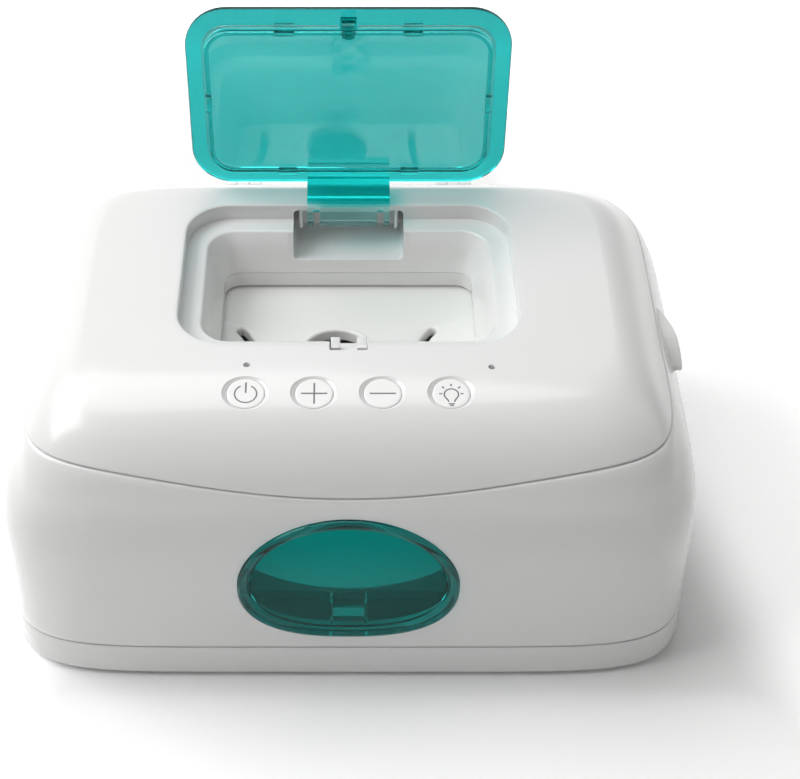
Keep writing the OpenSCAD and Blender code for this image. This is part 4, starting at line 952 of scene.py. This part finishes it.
stem = hull_of(corners((stem_x, skin_low), (y0, y1), (TAB_Z[0], TAB_Z[0] + 1))
               + corners((stem_x, skin_high), (y0, y1), (TAB_Z[1] - 1, TAB_Z[1])))
blade = [(0.8, 0, 0), (3.0, 5.5, 0), (4.6, 10.5, 0.1), (5.6, 14.5, 0.9), (6.3, 18.5, 2.9), (6.8, 22, 5.4), (6.9, 24.2, 7.2)]
tab = hull_of([p for out, along, drop in blade
               for p in corners((stem_x + 2, skin_high + out), (y1 - along,), (TAB_Z[0], TAB_Z[1] - drop))])
for shape, soften in ((stem, 0.4), (tab, 0.6)):
    round_off(shape, shape.edges, soften, 4, clamp_overlap=True)
slider = []
for j in (-1, 1):
    mid = LATCH_Y + j * 7.1
    slider.append(block((arm_x, stem_x + 1), (mid - 1, mid + 1), (TAB_Z[0] - 0.2, SEAM - 4.9), 0.2))
    span = sorted((LATCH_Y + j * 8.1, LATCH_Y + j * (LATCH_HALF + 5)))
    slider.append(block((leg_x[1] + 1, HALF_W - inset(SEAM - 5.6, WALL, False) - 0.5), span, (SEAM - 10.3, SEAM - 6.1), 0.2))
slider.append(block((arm_x, leg_x[0] - 0.6), (LATCH_Y - 8.1, LATCH_Y + 8.1), (SEAM - 8.2, SEAM - 4.9), 0.2))
piece("latch_tab", join(stem, tab, *slider), gloss_white, "latch", ["cover_latch"])

# ---- What is inside ----------------------------------------------------------------------------
# The bin, heater, boards, screws and springs keep the shapes of the solids. Each gets the finish
# of its own stuff: polypropylene, felt, film, rolled aluminium, solder mask, plated steel.

bin_white = plastic("bin_white_plastic", (0.70, 0.70, 0.69), 0.32, 0.08, 0.05, 500)
frame_plastic = plastic("frame_plastic", (0.60, 0.60, 0.59), 0.45, 0.1, 0.3, 1500)
board_green = plastic("board_green", (0.02, 0.13, 0.06), 0.3, 0.1, 0.2, 1800, coat=0.4)
black_plastic = plastic("black_plastic", (0.015, 0.015, 0.016), 0.4, 0.1, 0.3, 2000)
felt = plastic("needled_felt", (0.42, 0.42, 0.41), 0.95, 0.05, 1.0, 1400)
film = plastic("heating_film", (0.45, 0.17, 0.03), 0.25, 0.1, 0.1, 600, coat=0.5)
diode = plastic("diode_resin", (0.75, 0.66, 0.30), 0.2, 0.05, 0.05, 800, coat=0.3)
pale_seal = plastic("pale_silicone", (0.62, 0.62, 0.61), 0.5, 0.1, 0.2, 900)
steel = plastic("plated_steel", (0.55, 0.55, 0.56), 0.28, 0.15, 0.15, 2400, Metallic=1.0)
aluminium = plastic("rolled_aluminium", (0.68, 0.68, 0.69), 0.35, 0.2, 0.3, 900, Metallic=1.0)
sleeve = plastic("lead_sleeve", (0.03, 0.03, 0.03), 0.5, 0.1, 0.2, 1500)
smoke = plastic("smoked_pipe", (0.20, 0.20, 0.195), 0.3, 0.1, 0.05, 900)
finishes = {
    "wipe_bin": bin_white, "heater_tray": frame_plastic, "control_shield": frame_plastic, "power_board": board_green,
    "control_board": board_green, "night_light_board": board_green, "tact_switches": black_plastic,
    "thermal_cutout": black_plastic, "temperature_sensor": black_plastic, "dc_inlet": black_plastic,
    "insulation_pad": felt, "heater_mat": film, "heater_plate": aluminium, "indicator_leds": diode,
    "light_pipes": smoke, "collar_seal": pale_seal, "base_screws": steel, "tray_screws": steel, "board_screws": steel,
    "light_screws": steel, "control_screws": steel, "flap_hinge_pin": steel, "cover_hinge_pins": steel,
    "flap_springs": steel, "catch_spring": steel, "latch_springs": steel, "inlet_leads": sleeve, "heater_leads": sleeve}
for name, finish in finishes.items():
    slots_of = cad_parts[name].data.materials
    slots_of.clear()
    slots_of.append(finish)

# ---- Table, light and camera -------------------------------------------------------------------
# A pale table and backdrop, soft lamps overhead and at the front left, and the camera at the
# photograph's place: 44 degrees down on the front, through a long lens.


def seen_rays(tree):
    """1 for the rays that see the background, straight, mirrored or through a clear part"""
    ray = tree.nodes.new("ShaderNodeLightPath").outputs
    seen = calc(tree, "MAXIMUM", ray["Is Camera Ray"], ray["Is Glossy Ray"])
    return calc(tree, "MAXIMUM", seen, ray["Is Transmission Ray"])


def ramp(tree, value, start, end, height):
    """Rises smoothly from 0 to a height"""
    node = tree.nodes.new("ShaderNodeMapRange")
    node.interpolation_type = "SMOOTHSTEP"
    for label, number in (("From Min", start), ("From Max", end), ("To Max", height)):
        node.inputs[label].default_value = number
    tree.links.new(value, node.inputs["Value"])
    return node.outputs["Result"]


floor_mat = bpy.data.materials.new("pale_table")
floor_mat.use_nodes = True
tree = floor_mat.node_tree
paint = tree.nodes["Principled BSDF"]
paint.inputs["Base Color"].default_value = (0.94, 0.94, 0.94, 1)
paint.inputs["Roughness"].default_value = 0.7
where = tree.nodes.new("ShaderNodeSeparateXYZ")
place = tree.nodes.new("ShaderNodeTexCoord")
tree.links.new(place.outputs["Object"], where.inputs["Vector"])
aside = calc(tree, "ADD", calc(tree, "MULTIPLY_ADD", where.outputs["Y"], 0.25, 0.0145), where.outputs["X"])
away = tree.nodes.new("ShaderNodeVectorMath")
away.operation = "LENGTH"
tree.links.new(place.outputs["Object"], away.inputs[0])
# Painted light: an emission lifts the table's shadow at both sides and in front, and the table is plain white far off
white = ramp(tree, aside, 0.133, 0.17, 0.33)
for reading, start, end, height in ((where.outputs["Y"], -0.0905, -0.106, 0.11), (where.outputs["X"], -0.1, -0.125, 0.3),
                                    (away.outputs["Value"], 0.24, 0.6, 1.0)):
    white = calc(tree, "MAXIMUM", white, ramp(tree, reading, start, end, height))
# This emission is painted light, seen straight on, in mirrors and through clear parts
painted_glow = tree.nodes.new("ShaderNodeEmission")
tree.links.new(calc(tree, "MULTIPLY", white, seen_rays(tree)), painted_glow.inputs["Strength"])
total = tree.nodes.new("ShaderNodeAddShader")
tree.links.new(paint.outputs["BSDF"], total.inputs[0])
tree.links.new(painted_glow.outputs["Emission"], total.inputs[1])
tree.links.new(total.outputs["Shader"], tree.nodes["Material Output"].inputs["Surface"])
bm = bmesh.new()
bmesh.ops.create_grid(bm, x_segments=1, y_segments=1, size=6)
table = holder(bm, "table")
table.data.materials.append(floor_mat)

world = bpy.data.worlds.new("room")
bpy.context.scene.world = world
world.use_nodes = True
tree = world.node_tree
sky = tree.nodes["Background"]
sky.inputs["Color"].default_value = (1.0, 0.985, 0.97, 1)
sky.inputs["Strength"].default_value = 0.19
bright = tree.nodes.new("ShaderNodeBackground")
bright.inputs["Color"].default_value = (1, 1, 1, 1)
bright.inputs["Strength"].default_value = 1.0
blend(tree, seen_rays(tree), sky.outputs["Background"], bright.outputs["Background"], "World Output")


def lamp(name, place, target, size, watts):
    data = bpy.data.lights.new(name, "AREA")
    data.shape, data.size, data.size_y, data.energy = "RECTANGLE", *size, watts
    thing = linked(name, data)
    thing.location = place
    thing.rotation_euler = (Vector(target) - Vector(place)).to_track_quat("-Z", "Y").to_euler()


lamp("overhead_softbox", (-0.25, 0.35, 1.3), (0, 0, 0.1), (1.1, 0.9), 8.1)
lamp("left_softbox", (-1.0, 0.05, 1.1), (0, 0, 0.08), (1.2, 0.7), 13.5)
lamp("right_fill", (1.4, 0.1, 0.8), (0, 0, 0.07), (0.8, 0.8), 1.3)
lamp("front_fill", (-0.4, -1.5, 0.8), (0, 0, 0.07), (1.0, 0.6), 0.5)

camera = bpy.data.cameras.new("camera")
camera.sensor_width, camera.lens, camera.shift_x = 36, 75.8, 0.0644
eye = linked("camera", camera)
eye.location = (0, -0.4641, 0.510)
eye.rotation_euler = (math.radians(46), 0, 0)
bpy.context.scene.camera = eye
bpy.context.scene.view_settings.view_transform = "Standard"
